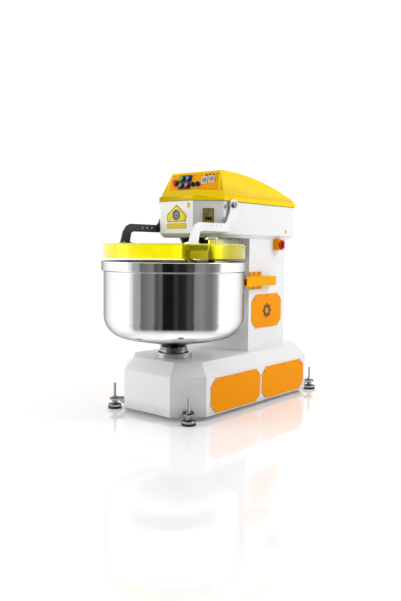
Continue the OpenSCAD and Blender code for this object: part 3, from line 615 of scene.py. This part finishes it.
def make_screws():
    head_height = 0.0034
    bm = bmesh.new()
    for solid in solids_of("panel_screws"):
        middle = middle_of(solid)
        if middle.z > head_high.z:
            out = FACE_OUT
        elif abs(middle.x) > column_high.x - 0.02:
            out = outward(solid)
        else:
            out = BACK
        where, size = seat(solid, out)
        screw_head(bm, raised(where, size.z - head_height), size.x / 2, head_height)
    add("panel_screw_heads", bm, zinc, "panel_screws")


def make_feet():
    """Feet with a ribbed rubber sole, a pressed cup, a hexagon and a threaded stem."""
    groove = 0.0012
    for corner in ("front_left", "front_right", "rear_left", "rear_right"):
        sole, foot = "foot_rubber_" + corner, "levelling_foot_" + corner
        where, size = seat(sole, UP)
        r, h = size.x / 2, size.z
        ribs = []
        for k in (1, 2, 3, 4):
            ribs += [(r, h * k / 6), (r - groove, h * k / 6 + groove)]
        spun(sole + "_ribbed", rubber, sole, where,
             [(0, 0), (r - 0.003, 0), (r - 0.0008, 0.0015)] + ribs + [(r, h), (0, h)], 64, angle=50)

        low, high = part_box(foot)
        axis = Matrix.Translation(where.translation)
        z0 = low.z
        cup = rounded([(0, z0), (r - 0.001, z0), (r - 0.001, z0 + 0.011), (r - 0.006, z0 + 0.0145),
                       (0.026, z0 + 0.0165), (0.022, z0 + 0.019), (0.0, z0 + 0.019)], 0.002)
        bm = bmesh.new()
        lathe(bm, cup, axis, 64)
        hex_head(bm, raised(axis, z0 + 0.018), 0.016, 0.0105, 0.0075)
        threaded(bm, axis, 0.008, z0 + 0.01, high.z)
        add(foot + "_threaded", bm, zinc, foot, angle=40)


def make_fasteners():
    """Nuts on the feet, bolts on the roller brackets and shield, and the roller pins."""
    bm = bmesh.new()
    for solid in solids_of("hex_fasteners"):
        where, size = seat(solid, UP)
        height = middle_of(solid).z
        if height < base_high.z:  # nut on a foot, with a washer under it
            stem, washer, thick = 0.0083, 0.021, 0.0018
            hex_head(bm, where, size.x / 2, size.z, stem - 0.0001)
            profile = [(stem, 0), (washer, 0), (washer, thick), (stem, thick)]
            lathe(bm, profile, raised(where, -thick), 32, True)
        elif height > head_low.z - 0.05:  # shield bolt, which hangs head down
            hex_head(bm, raised(where, size.z - 0.0035) @ Matrix.Rotation(pi, 4, "X"), 0.0076, 0.0045)
        elif size.z > 0.05:  # roller pin
            pin_head = 0.008
            hex_head(bm, raised(where, size.z - pin_head), 0.0152, pin_head)
        else:  # bracket bolt
            bolt_head = 0.007
            where, size = seat(solid, outward(solid))
            hex_head(bm, raised(where, size.z - bolt_head), 0.0095, bolt_head)
    add("hex_bolts_and_nuts", bm, zinc, "hex_fasteners", angle=25)


# ---- Column ----

def make_column():
    plan = [(column_low.x, column_low.y), (column_high.x, column_low.y),
            (column_high.x, column_high.y), (column_low.x, column_high.y)]
    bead("column_weld", white_paint, "white_paint", plan, 0.005, column_low.z + 0.001, 0.0028)


def make_rear_panel():
    """Service panel with two columns of pressed louvres."""
    low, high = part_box("rear_panel")
    rows, pitch, width, lowest = 10, 0.016, 0.11, 0.0635
    # Section of one hood: how far it stands out, and how far down it reaches.
    hood = [(0, -0.006), (0.0025, -0.0055), (0.0046, -0.003), (0.0052, 0.0),
            (0.0042, 0.0), (0.0036, -0.0025), (0.0018, -0.0045), (0, -0.005)]
    bm = bmesh.new()
    for x in (-0.08, 0.08):
        for row in range(rows):
            where = place(Vector((x, high.y, (low.z + high.z) / 2 + lowest + row * pitch)), BACK)
            ends = [[bm.verts.new(where @ Vector((end, 0.001 - drop, out))) for out, drop in hood]
                    for end in (-width / 2, width / 2)]
            loft(bm, ends, caps=True)
    piece("rear_louvres", bm, white_paint, "machine", "white_paint", angle=60)


def make_rollers():
    for side in ("left", "right"):
        node = "bowl_roller_" + side
        where, size = seat(node, UP)
        r, h = size.x / 2, size.z
        half = [(0.0082, 0), (0.017, 0), (0.018, 0.0015), (r - 0.003, 0.0015), (r, 0.005),
                (r, h * 0.32), (r - 0.001, h * 0.35), (r, h * 0.38)]
        profile = half + [(radius, h - z) for radius, z in reversed(half)]
        spun(node + "_turned", nylon, node, where, profile, closed=True)


def make_main_switch():
    node = "main_switch_knob"
    where, size = seat(node, RIGHT)
    stem = 0.01
    top = size.z - stem
    front = raised(where, stem)
    spun("main_switch_disc", red_plastic, node, front,
         rounded([(0, 0), (0.032, 0), (0.032, 0.005), (0.029, 0.0095), (0, 0.0095)], 0.0015), 64)
    grip = rounded([(-0.0065, -0.026), (0.0065, -0.026), (0.008, 0), (0.0065, 0.0265), (-0.0065, 0.0265),
                    (-0.008, 0)], 0.003, 3, True)
    plate("main_switch_handle", red_plastic, node, front, grip, 0.009, top, bevel=0.0015)
    mark = box_outline(0.0022, 0.012, (0, 0.018))
    plate("main_switch_mark", ink_white, node, front, mark, top - 0.0001, top + 0.0002)
    spun("main_switch_ring", black_plastic, ("machine", "block_black"), raised(front, -0.0003),
         [(0.0295, 0), (0.0345, 0), (0.0345, 0.0015), (0.033, 0.0022), (0.0325, 0)], 64, True)


# ---- Head ----

def make_head():
    # The seal runs round the head's plan, with its two front chamfers.
    proud = 0.0015
    cut = 0.14 + proud * (2 - sqrt(2))
    x, y0, y1 = head_high.x + proud, head_low.y - proud, head_high.y + proud
    plan = [(cut - x, y0), (x - cut, y0), (x, y0 + cut), (x, y1), (-x, y1), (-x, y0 + cut)]
    bead("cover_seal", rubber, "gland_black", plan, 0.006, head_high.z - 0.0012, 0.0016)


def make_badge():
    """Plain five-sided badge with a whisk-like spiral, and a bar with dots below it."""
    node = "head_badge"
    parts = sorted(solids_of(node), key=lambda solid: max(p.z for p in solid))
    bar_place, bar_size = seat(parts[0], FRONT)
    sign_place, size = seat(parts[1], FRONT)
    x, y = size.x / 2, size.y / 2
    foot_x, shoulder = x * 80 / 84, -y + size.y * 48 / 114
    outline = [(-foot_x, -y), (foot_x, -y), (x, shoulder), (0, y), (-x, shoulder)]
    bm = bmesh.new()
    prism(bm, rounded(outline, 0.004, 3, True), 0, size.z, sign_place)
    prism(bm, box_outline(bar_size.x, bar_size.y, corner=0.008), 0, bar_size.z, bar_place)
    add("badge_plates", bm, badge_yellow, node, bevel=0.0004)

    sunk, proud = size.z - 0.0002, size.z + 0.0004
    bm = bmesh.new()
    edge = rounded(inset(outline, 0.003), 0.004, 3, True)
    inner = rounded(inset(outline, 0.0075), 0.003, 3, True)
    prism(bm, edge, sunk, proud, sign_place, inner)
    bar = box_outline(bar_size.x - 0.005, bar_size.y - 0.005, corner=0.007)
    bar_inner = box_outline(bar_size.x - 0.011, bar_size.y - 0.011, corner=0.005)
    prism(bm, bar, sunk, proud, bar_place, bar_inner)
    dots, pitch = 7, 0.019
    for k in range(dots):
        lathe(bm, disc(0.0042, 0, 0.0006), raised(bar_place, sunk, (k - dots // 2) * pitch), 20)
    add("badge_lines", bm, badge_dark, node, False)

    middle = raised(sign_place, size.z, 0, 0.046 - y)
    spun("badge_disc", badge_blue, node, middle, disc(0.033, -0.0002, 0.0005), replace=False)
    bm = bmesh.new()
    turns, count = 2.2, 70
    spiral = []
    for i in range(count + 1):
        angle = tau * turns * i / count
        radius = 0.004 + 0.021 * i / count
        spiral.append(middle @ polar(radius, angle, 0.0007))
    sweep(bm, spiral, 0.0017, 8)
    add("badge_spiral", bm, ink_white, node, False)


def make_labels():
    """Small plain tags on the head: a rounded plate with a disc, ruled lines and no words."""
    badge_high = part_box("head_badge")[1]
    spots = {
        "front": (Vector((badge_high.x + 0.018, head_low.y, badge_high.z - 0.007)), FRONT, 0.022, 0.034),
        "side": (Vector((head_high.x, head_high.y - 0.102, head_low.z + 0.055)), RIGHT, 0.024, 0.024),
    }
    sunk, proud = 0.0005, 0.0009
    for name, (spot, out, width, height) in spots.items():
        where = place(spot, out)
        plate("label_" + name, badge_yellow, ("machine", "badge_yellow"), where,
              box_outline(width, height, corner=0.003), 0, 0.0006)
        bm = bmesh.new()
        lathe(bm, disc(width * 0.26, sunk, proud), raised(where, 0, 0, height * 0.18), 24)
        for k in (1, 2):
            line = box_outline(width * 0.7, 0.0015, (0, -height * (0.1 + 0.13 * k)))
            prism(bm, line, sunk, proud, where)
        piece("label_print_" + name, bm, badge_dark, "machine", "olive_plate")


# Where each bar of a seven-bar digit sits, in half widths and heights, and whether it stands upright.
SEGMENTS = {"top": ((0, 1), False), "middle": ((0, 0), False), "bottom": ((0, -1), False),
            "left_high": ((-0.5, 0.5), True), "right_high": ((0.5, 0.5), True),
            "left_low": ((-0.5, -0.5), True), "right_low": ((0.5, -0.5), True)}
DIGITS = {2: ("top", "right_high", "middle", "left_low", "bottom"),
          4: ("left_high", "right_high", "middle", "right_low")}


def make_display():
    """Temperature display on the right chamfer: a plate, a dark window with digits, and two keys."""
    node = "temperature_display"
    where, size = seat(node, FRONT + RIGHT)
    top = size.z
    plate("display_plate", olive_print, node, where, box_outline(size.x, size.y, corner=0.004), 0, top,
          replace=True, bevel=0.0006)
    bm = bmesh.new()
    frame_out = box_outline(size.x - 0.006, size.y - 0.006, corner=0.003)
    frame_in = box_outline(size.x - 0.010, size.y - 0.010, corner=0.002)
    prism(bm, frame_out, top - 0.0001, top + 0.0003, where, frame_in)
    for x, y, r in ((0.0, 0.030, 0.005), (-0.012, 0.008, 0.006)):
        lathe(bm, rounded(disc(r, 0, 0.0025), 0.001), raised(where, top - 0.0002, x, y), 28)
    add("display_keys", bm, ink_black, node, False)

    x, y = 0.001, -0.019
    plate("display_window", window_dark, node, where, box_outline(0.044, 0.022, (x, y), 0.002),
          top - 0.0002, top + 0.0012, bevel=0.0003)
    bm = bmesh.new()
    long, short = 0.0055, 0.0014
    for digit, shift in ((2, -0.009), (4, 0.009)):
        for name in DIGITS[digit]:
            (across, up), upright = SEGMENTS[name]
            shape = (short, long) if upright else (long, short)
            centre = (x + shift + across * 0.0075, y + up * 0.0065)
            prism(bm, box_outline(*shape, centre), top + 0.0011, top + 0.0015, where)
    add("display_digits", bm, digit_glow, node, False)


def make_buttons():
    looks = {"button_bowl_start": (green_plastic, "bar"), "button_bowl_reverse": (blue_plastic, "ring"),
             "button_spiral_start": (green_plastic, "bar"), "button_stop": (red_plastic, "ring")}
    for node, (cap, mark) in looks.items():
        where, size = seat(node, FACE_OUT)
        top, r = size.z, size.x / 2
        rim = top - 0.0085
        spun(node + "_cap", cap, node, where, [(0, 0), (0.0058, 0), (0.0058, rim)]
             + rounded([(r - 0.001, rim), (r, rim + 0.001), (r, top - 0.002), (r - 0.0025, top),
                        (r - 0.004, top - 0.0006), (0, top - 0.0004)], 0.0008))
        outline, hole = box_outline(0.003, 0.013, corner=0.001), None
        if mark == "ring":
            outline, hole = circle(0.0068), circle(0.0045)
        plate(node + "_mark", ink_white, node, where, outline, top - 0.0008, top + 0.0001, hole)


def make_emergency_stop():
    node = "emergency_stop"
    where, size = seat(node, FACE_OUT)
    top, r, stem = size.z, size.x / 2, 0.0088
    spun("emergency_stop_cap", red_plastic, node, where, [(0, 0), (stem, 0)]
         + rounded([(stem, top - 0.018), (r - 0.004, top - 0.0165), (r, top - 0.012), (r, top - 0.006),
                    (r - 0.005, top - 0.002), (r - 0.012, top), (0, top)], 0.002), 64)
    bm = bmesh.new()
    arc_radius, arc_height, arrows = 0.0095, top - 0.0004, 3
    for k in range(arrows):
        turn = where @ Matrix.Rotation(tau * k / arrows, 4, "Z")
        bends = [radians(degrees) for degrees in range(0, 81, 10)]
        sweep(bm, [turn @ polar(arc_radius, bend, arc_height) for bend in bends], 0.0007, 6)
    add("emergency_stop_arrows", bm, ink_white, node, False)
    spun("emergency_stop_collar", black_plastic, ("machine", "block_black"), raised(where, 0.013),
         rounded([(0.0092, 0), (0.0245, 0), (0.0245, 0.0015), (0.0165, 0.0045), (0.0092, 0.0045)],
                 0.0006, closed=True), 64, True)


def make_selectors():
    for name in ("selector_mode", "selector_speed"):
        where, size = seat(name, FACE_OUT)
        r, top = size.x / 2, size.z
        bm = bmesh.new()
        lathe(bm, rounded([(0, 0), (r, 0), (r, 0.005), (r - 0.004, 0.009), (r - 0.004, 0.0135), (0, 0.0135)],
                          0.0012), where)
        wing = rounded([(-0.0045, -r + 0.002), (0.0045, -r + 0.002), (0.005, 0), (0.0035, r - 0.002),
                        (-0.0035, r - 0.002), (-0.005, 0)], 0.002, 3, True)
        prism(bm, wing, 0.009, top, where)
        add(name + "_knob", bm, black_plastic, name, bevel=0.0006)
        pointer = box_outline(0.0018, 0.009, (0, 0.009))
        plate(name + "_pointer", ink_white, name, where, pointer, top - 0.0001, top + 0.0002)
        spun(name + "_bezel", zinc, ("machine", "zinc_steel"), raised(where, -0.0003),
             [(r, 0), (r + 0.0035, 0), (r + 0.0035, 0.0012), (r + 0.0005, 0.0016), (r + 0.0005, 0)],
             closed=True)


def make_timers():
    """Panel timers: a white frame, a dial with 30 divisions, and a knob."""
    node, divisions, step = "timer_housings", 30, 10
    housings = sorted(solids_of(node), key=lambda solid: middle_of(solid).x)
    for solid, name in zip(housings, ("slow", "fast")):
        where, size = seat(solid, FACE_OUT)
        top, half = size.z, size.x / 2
        outline = box_outline(size.x, size.y, corner=0.004)
        start = atan2(outline[0].y, outline[0].x)
        count = len(outline)
        opening = [polar(half - 0.003, start + tau * k / count) for k in range(count)]
        plate("timer_frame_" + name, white_plastic, node, where, outline, 0, top, opening,
              replace=name == "slow", bevel=0.0006)
        dial = top - 0.0012
        spun("timer_dial_" + name, ink_white, node, where, disc(half - 0.0028, 0, dial), replace=False)
        bm = bmesh.new()
        for k in range(divisions + 1):
            turn = where @ Matrix.Rotation(radians(step * (divisions / 2 - k)), 4, "Z")
            length = 0.0032 if k % 5 == 0 else 0.0018
            prism(bm, box_outline(0.0007, length, (0, half - 0.0052)), dial - 0.0001, dial + 0.0004, turn)
        add("timer_ticks_" + name, bm, ink_black, node, False)

        knob = "timer_knob_" + name
        where, size = seat(knob, FACE_OUT)
        base, top = size.z - 0.0095, size.z - 0.0016
        spun(knob + "_turned", dial_grey, knob, where, [(0, 0), (0.003, 0), (0.003, base)]
             + rounded([(0.0145, base), (0.0148, base + 0.0015), (0.0125, size.z - 0.0025),
                        (0.011, top), (0, top)], 0.001))
        pointer = box_outline(0.002, 0.0085, (0, 0.0065))
        plate(knob + "_pointer", ink_white, knob, where, pointer, top - 0.0002, top + 0.0006)


def make_lamps():
    lenses, bezels = bmesh.new(), bmesh.new()
    for solid in solids_of("signal_lamps"):
        where, size = seat(solid, FACE_OUT)
        r, top, lens, bore = size.x / 2, size.z, 0.0048, 0.0049
        lathe(lenses, rounded([(0, 0), (lens, 0), (lens, 0.0045), (0.003, top), (0, top)], 0.0012), where, 32)
        lathe(bezels, rounded([(bore, 0), (r, 0), (r, 0.002), (r - 0.001, 0.003), (bore, 0.003)],
                              0.0005, closed=True), where, 32, True)
    add("lamp_lenses", lenses, lamp_plastic, "signal_lamps")
    add("lamp_bezels", bezels, black_plastic, "signal_lamps", False)


# ---- Guard ----

def make_guard():
    skin("bowl_guard", clear_yellow, 0.0012, angle=50)
    # The left arm takes the darker copy of the arm steel: painted shade.
    skin("guard_arms", arm_painted_shade, 0.0016, name="guard_arm_left", side=-1)
    skin("guard_arms", arm_steel, 0.0016, name="guard_arm_right", side=1)
    pins = bmesh.new()
    for solid in solids_of("guard_pivots"):
        where, size = seat(solid, outward(solid))
        r, top = size.x / 2, size.z
        if top > 0.02:
            profile = [(0, 0), (r, 0), (r, 0.0125), (0.015, 0.0125), (0.015, 0.0236), (0.021, 0.0236),
                       (0.021, top - 0.003), (0.018, top), (0.0085, top), (0.008, top - 0.004),
                       (0, top - 0.004)]
        else:
            profile = [(0, 0), (r, 0), (r, top), (r * 0.55, top), (r * 0.5, top - 0.003), (0, top - 0.003)]
        lathe(pins, rounded(profile, 0.0012), where)
    add("guard_pivot_pins", pins, zinc, "guard_pivots")
    bolts = bmesh.new()
    x, z = 0.276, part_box("bowl_guard")[1].z + 0.006
    for side in (-1, 1):
        for y in (-0.185, -0.133):
            hex_head(bolts, Matrix.Translation((side * x, BOWL_AXIS.y + y, z)), 0.0085, 0.006)
    piece("guard_bolts", bolts, zinc, "guard", "zinc_steel", angle=25)


# ---- Bowl and its drive ----

def make_bowl():
    """Spun bowl: rim band with a rolled lip, straight wall, round corner and shallow cone."""
    r = (bowl_high.x - bowl_low.x) / 2
    top, bottom = bowl_high.z, bowl_low.z
    wall, corner, sheet, flat = r - 0.015, 0.15, 0.004, 0.09
    band = top - 0.06
    centre_r, centre_z, bend, steps = wall - corner, bottom + 0.2, radians(78), 20

    def skin_line(depth):
        arc = [(centre_r + (corner - depth) * cos(bend * (1 - i / steps)),
                centre_z - (corner - depth) * sin(bend * (1 - i / steps))) for i in range(steps + 1)]
        return [(0, bottom + depth), (flat - depth * 0.1, bottom + depth)] + arc

    lip = rounded([(wall, band - 0.012), (wall, band - 0.005), (r, band + 0.0005), (r, top - 0.003),
                   (r - 0.003, top), (wall + 0.002, top), (wall - sheet, top - 0.003),
                   (wall - sheet, top - 0.02)], 0.0035, 4)
    profile = skin_line(0) + lip + skin_line(sheet)[::-1]
    bowl = spun("bowl_spun", bowl_polish, "bowl", Matrix.Translation(BOWL_AXIS), profile, 256, angle=40)
    # Faces that look inward or up take the darker steel: painted shade inside the bowl and on the lip top.
    bowl.data.materials.append(bowl_inside_painted_shade)
    for polygon in bowl.data.polygons:
        away = Vector((polygon.center.x, polygon.center.y, 0)) - BOWL_AXIS
        if polygon.normal.dot(away) < 0 or polygon.normal.z > 0.5:
            polygon.material_index = 1


def make_spindle():
    node = "bowl_spindle"
    low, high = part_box(node)
    axis = Matrix.Translation(BOWL_AXIS)
    r = (high.x - low.x) / 2
    washer, neck = high.z - 0.012, base_high.z + 0.01
    # The neck takes the darker steel, which is painted shade under the bowl.
    spun("spindle_neck", neck_steel_painted_shade, node, axis, rounded(
        [(0, low.z), (0.04, low.z), (0.04, neck), (r, neck), (r, washer - 0.016),
         (r - 0.0025, washer - 0.014), (r - 0.0025, washer - 0.011), (r, washer - 0.009),
         (r, washer), (0.05, washer), (0, washer)], 0.0015), 96)
    spun("spindle_washer", ink_black, node, axis, rounded(
        [(0, washer), (0.07, washer), (0.07, high.z - 0.001), (0.066, high.z), (0, high.z)], 0.001),
        96, replace=False)
    bm = bmesh.new()
    bolts, bolt_circle = 8, 0.08
    for k in range(bolts):
        spot = BOWL_AXIS + polar(bolt_circle, tau * (k + 0.5) / bolts, washer)
        lathe(bm, rounded([(0, 0), (0.0055, 0), (0.0055, 0.005), (0.003, 0.005), (0.003, 0.002), (0, 0.002)],
                          0.0006), Matrix.Translation(spot), 20)
    add("spindle_bolts", bm, zinc, node, False)

    node = "bowl_bearing_housing"
    low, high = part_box(node)
    r, z = (high.x - low.x) / 2, base_high.z
    bore, barrel, seal = 0.062, 0.105, 0.102
    spun("bearing_flange", flange_steel, node, axis, rounded(
        [(bore, low.z), (barrel, low.z), (barrel, z - 0.001), (r, z - 0.001), (r, z + 0.011),
         (r - 0.002, z + 0.0125), (r - 0.002, z + 0.0145), (r, z + 0.016), (r, high.z - 0.0015),
         (r - 0.0015, high.z), (seal + 0.0015, high.z), (seal, high.z - 0.0015),
         (seal, z + 0.007), (bore, z + 0.007)], 0.001, closed=True), 128, True)


# ---- Spiral, breaker bar and shield ----

def ease(t):
    t = min(max(t, 0), 1)
    return t * t * (3 - 2 * t)


def make_spiral():
    """Hub with a flared collar, and a tapering bar that winds down into the bowl."""
    node = "spiral_hook"
    low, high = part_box(node)
    centre = upright_axis("spiral_pulley")
    axis = Matrix.Translation(centre)
    bar, coil, hub, turns, start = 0.022, 0.15, 0.052, 1.6, -150
    top_z, low_z = 1.075, low.z + bar
    count = 220

    def point(t):
        angle = radians(start + 360 * turns * t)
        radius = hub + (coil - hub) * ease(t / 0.25) - (coil - 0.02) * ease((t - 0.8) / 0.2)
        z = top_z - (top_z - low_z) * min(t / 0.8, 1)
        return centre + polar(radius, angle, z)

    def thickness(t):
        """Full down to the tip, which tapers and is a little rounded at its very end."""
        return bar * (1 - 3.5 * max(t - 0.9, 0)) * (1 if t < 0.985 else 0.9)

    bm = bmesh.new()
    sweep(bm, [point(i / count) for i in range(count + 1)], thickness, 28)
    # The bar's near-black steel is painted shade and painted reflection.
    add("spiral_bar", bm, hook_steel, node, angle=60)
    spun("spiral_hub", black_plastic, node, axis, rounded(
        [(0, 1.06), (0.074, 1.06), (0.08, 1.066), (0.08, 1.094), (0.097, 1.096), (0.097, 1.106),
         (0.112, 1.138), (0.112, 1.142), (0.04, 1.142), (0.04, 1.26), (0.03, 1.26),
         (0.03, high.z), (0, high.z)], 0.003), 96, replace=False)
    spun("spiral_hub_ring", chrome, node, axis, rounded(
        [(0.0973, 1.0965), (0.0995, 1.0965), (0.0995, 1.1055), (0.0973, 1.1055)], 0.0008, closed=True),
        96, True, replace=False)


def make_breaker():
    low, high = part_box("breaker_bar")
    where = Matrix.Translation(upright_axis("breaker_bar"))
    r, flange, flange_z, nose = 0.024, (high.x - low.x) / 2, high.z - 0.014, 0.01
    spun("breaker_bar_turned", chrome, "breaker_bar", where, rounded(
        [(0, low.z), (r - nose, low.z), (r, low.z + nose), (r, flange_z),
         (flange, flange_z), (flange, high.z), (0, high.z)], 0.003), 64)


for make in (make_screws, make_feet, make_fasteners, make_column, make_rear_panel, make_rollers,
             make_main_switch, make_head, make_badge, make_labels, make_display, make_buttons,
             make_emergency_stop, make_selectors, make_timers, make_lamps, make_guard, make_bowl,
             make_spindle, make_spiral, make_breaker):
    make()
for material, rounding, segments, *shapes in SKINS:
    for shape in shapes:
        skin(shape, material, rounding, segments=segments)


# ---- Camera, light and floor ----

VIEW_AZIMUTH = radians(39.8)
VIEW_PITCH = radians(4.54)
VIEW_ROLL = radians(0.58)
LENS_MM = 39.23
CAMERA_FROM_BOWL = Vector((2.8846, -3.1899, 1.0732))
# Level directions from the bowl towards the camera, and to the right as the camera sees it.
TOWARD_CAMERA = Vector((sin(VIEW_AZIMUTH), -cos(VIEW_AZIMUTH), 0))
CAMERA_RIGHT = Vector((cos(VIEW_AZIMUTH), sin(VIEW_AZIMUTH), 0))


def grey_ramp(tree, share, levels):
    """Grey colour ramp with the given (position, level) stops."""
    made = shader_node(tree, "ValToRGB", Fac=share)
    stops = made.color_ramp.elements
    for i, (spot, level) in enumerate(levels):
        stop = stops[0] if i == 0 else stops[-1] if i == len(levels) - 1 else stops.new(spot)
        stop.position = spot
        stop.color = (level, level, level, 1)
    return made


def make_camera():
    data = bpy.data.cameras.new("camera")
    data.sensor_width = 36
    data.lens = LENS_MM
    camera = link_object("camera", data)
    turn = Matrix.Rotation(VIEW_AZIMUTH, 4, "Z")
    tip = Matrix.Rotation(pi / 2 - VIEW_PITCH, 4, "X")
    roll = Matrix.Rotation(VIEW_ROLL, 4, "Z")
    camera.matrix_world = Matrix.Translation(BOWL_AXIS + CAMERA_FROM_BOWL) @ turn @ tip @ roll
    bpy.context.scene.camera = camera


def area_light(name, spot, aim, side, power):
    """Square lamp that the camera doesn't see."""
    data = bpy.data.lights.new(name, "AREA")
    data.size = side
    data.energy = power
    light = link_object(name, data)
    light.location = spot
    light.rotation_euler = (Vector(aim) - Vector(spot)).to_track_quat("-Z", "Y").to_euler()
    light.visible_camera = False


# Brightness of the light from each side, from straight behind the machine to straight behind the
# camera, and of the white backdrop that the camera and reflections see.
STUDIO_LEVELS = [(0.0, 0.74), (0.3, 0.95), (0.57, 1.03), (0.95, 0.12)]
BACKDROP_LEVEL = 1.08


def make_world():
    """White studio whose light is dimmer from the side where the photographer stands."""
    world = bpy.data.worlds.new("studio")
    bpy.context.scene.world = world
    world.use_nodes = True
    tree = world.node_tree
    tree.nodes.clear()
    direction = shader_node(tree, "TexCoord").outputs["Generated"]
    toward = shader_node(tree, "VectorMath", "DOT_PRODUCT", direction, TOWARD_CAMERA)
    share = shader_node(tree, "MapRange", Value=toward.outputs["Value"], From_Min=-1)
    ramp = grey_ramp(tree, share.outputs[0], STUDIO_LEVELS)
    ramp.color_ramp.interpolation = "EASE"
    light = shader_node(tree, "Background", Color=WHITE, Strength=ramp.outputs[0])
    backdrop = shader_node(tree, "Background", Color=WHITE, Strength=BACKDROP_LEVEL)
    ray = shader_node(tree, "LightPath").outputs
    seen = shader_node(tree, "Math", "MAXIMUM", ray["Is Camera Ray"], ray["Is Glossy Ray"])
    choose = shader_node(tree, "MixShader", None, seen.outputs[0], light.outputs[0], backdrop.outputs[0])
    shader_node(tree, "OutputWorld", Surface=choose.outputs[0])


def make_floor():
    mesh = bpy.data.meshes.new("floor")
    far = 30
    mesh.from_pydata([(-far, -far, 0), (far, -far, 0), (far, far, 0), (-far, far, 0)], [], [(0, 1, 2, 3)])
    floor = link_object("floor", mesh)
    made = Finish("floor_gloss", (0.9, 0.9, 0.9), 0.05, Emission_Color=WHITE, Emission_Strength=0.1)
    made.vary_roughness(made.noise(2.0, detail=4), 1, 1.6)
    mesh.materials.append(made.material)
    floor.visible_glossy = False


# Brightness of what the steel reflects, in degrees round the bowl from the
# camera, right side positive.
SCREEN_LEVELS = [
    (-130, 1.2), (-72, 1.2), (-62, 0.7), (-59, 0.4), (-50, 0.38), (-46, 0.14), (-34, 0.2), (-28, 0.22),
    (-24, 0.07), (-16, 0.12), (-13, 0.01), (0, 0.008), (5, 0.04), (10, 0.015), (18, 0.02), (24, 0.07),
    (30, 0.05), (33, 0.22), (44, 0.26), (50, 0.2), (58, 0.17), (64, 0.24), (70, 0.4), (74, 1.0),
    (80, 1.2), (130, 1.2)]
SCREEN_FIRST, SCREEN_LAST = SCREEN_LEVELS[0][0], SCREEN_LEVELS[-1][0]
SCREEN_RADIUS, SCREEN_TOP, DARK_FROM, BASE_SIDE, GROUND_Z, GROUND_LEVEL = 3.3, 1.5, 1.1, 0.6, -0.01, 0.95


def screen_material():
    """Glow that follows SCREEN_LEVELS by angle, and fades to near white next to the base."""
    made = Finish("screen", (0, 0, 0), 0.5, Specular_IOR_Level=0, Emission_Color=WHITE)
    spot = made.node("SeparateXYZ", Vector=made.coords).outputs
    angle = made.node("Math", "ARCTAN2", spot["X"], spot["Y"]).outputs[0]
    share = made.remap(angle, 0, 1, radians(SCREEN_FIRST), radians(SCREEN_LAST))
    ramp = grey_ramp(made.tree, share, [((degrees - SCREEN_FIRST) / (SCREEN_LAST - SCREEN_FIRST), level)
                                        for degrees, level in SCREEN_LEVELS])
    reach = made.node("VectorMath", "LENGTH", made.coords).outputs["Value"]
    fade = made.node("MapRange", Value=reach, From_Min=BASE_SIDE, From_Max=DARK_FROM, To_Min=1, To_Max=0)
    fade.interpolation_type = "SMOOTHSTEP"
    blend = made.node("Mix")
    for index, value in ((0, fade.outputs[0]), (2, ramp.outputs[0]), (3, GROUND_LEVEL)):
        plug(made.tree, blend.inputs[index], value)
    made.set("Emission Strength", blend.outputs[0])
    return made.material


def make_screen():
    """Curved wall and ground on the camera's side of the bowl that only reflections see.

    The ground lies under the floor, which reflections pass through."""
    verts, faces = [], []
    steps = 40
    for k in range(steps + 1):
        turn = radians(SCREEN_FIRST + (SCREEN_LAST - SCREEN_FIRST) * k / steps)
        for radius, z in ((BASE_SIDE, GROUND_Z), (SCREEN_RADIUS, GROUND_Z), (SCREEN_RADIUS, SCREEN_TOP)):
            verts.append((radius * sin(turn), radius * cos(turn), z))
    for k in range(steps):
        for row in (0, 1):
            a = 3 * k + row
            faces.append((a, a + 1, a + 4, a + 3))
    mesh = bpy.data.meshes.new("screen")
    mesh.from_pydata(verts, [], faces)
    mesh.materials.append(screen_material())
    screen = link_object("screen", mesh)
    # The mesh is drawn with +Y towards the camera and +X to its right.
    turn = Matrix((CAMERA_RIGHT, TOWARD_CAMERA, UP)).transposed().to_4x4()
    screen.matrix_world = Matrix.Translation(BOWL_AXIS) @ turn
    for ray in ("camera", "diffuse", "shadow", "transmission", "volume_scatter"):
        setattr(screen, "visible_" + ray, False)


make_camera()
make_world()
make_floor()
make_screen()
area_light("light_left", (-3.4, -3.8, 1.4), (0, -0.3, 0.8), 2.2, 90)
area_light("light_right", (3.2, 1.8, 3.4), (0, 0, 0.8), 2.5, 78)
bpy.context.scene.view_settings.view_transform = "Standard"
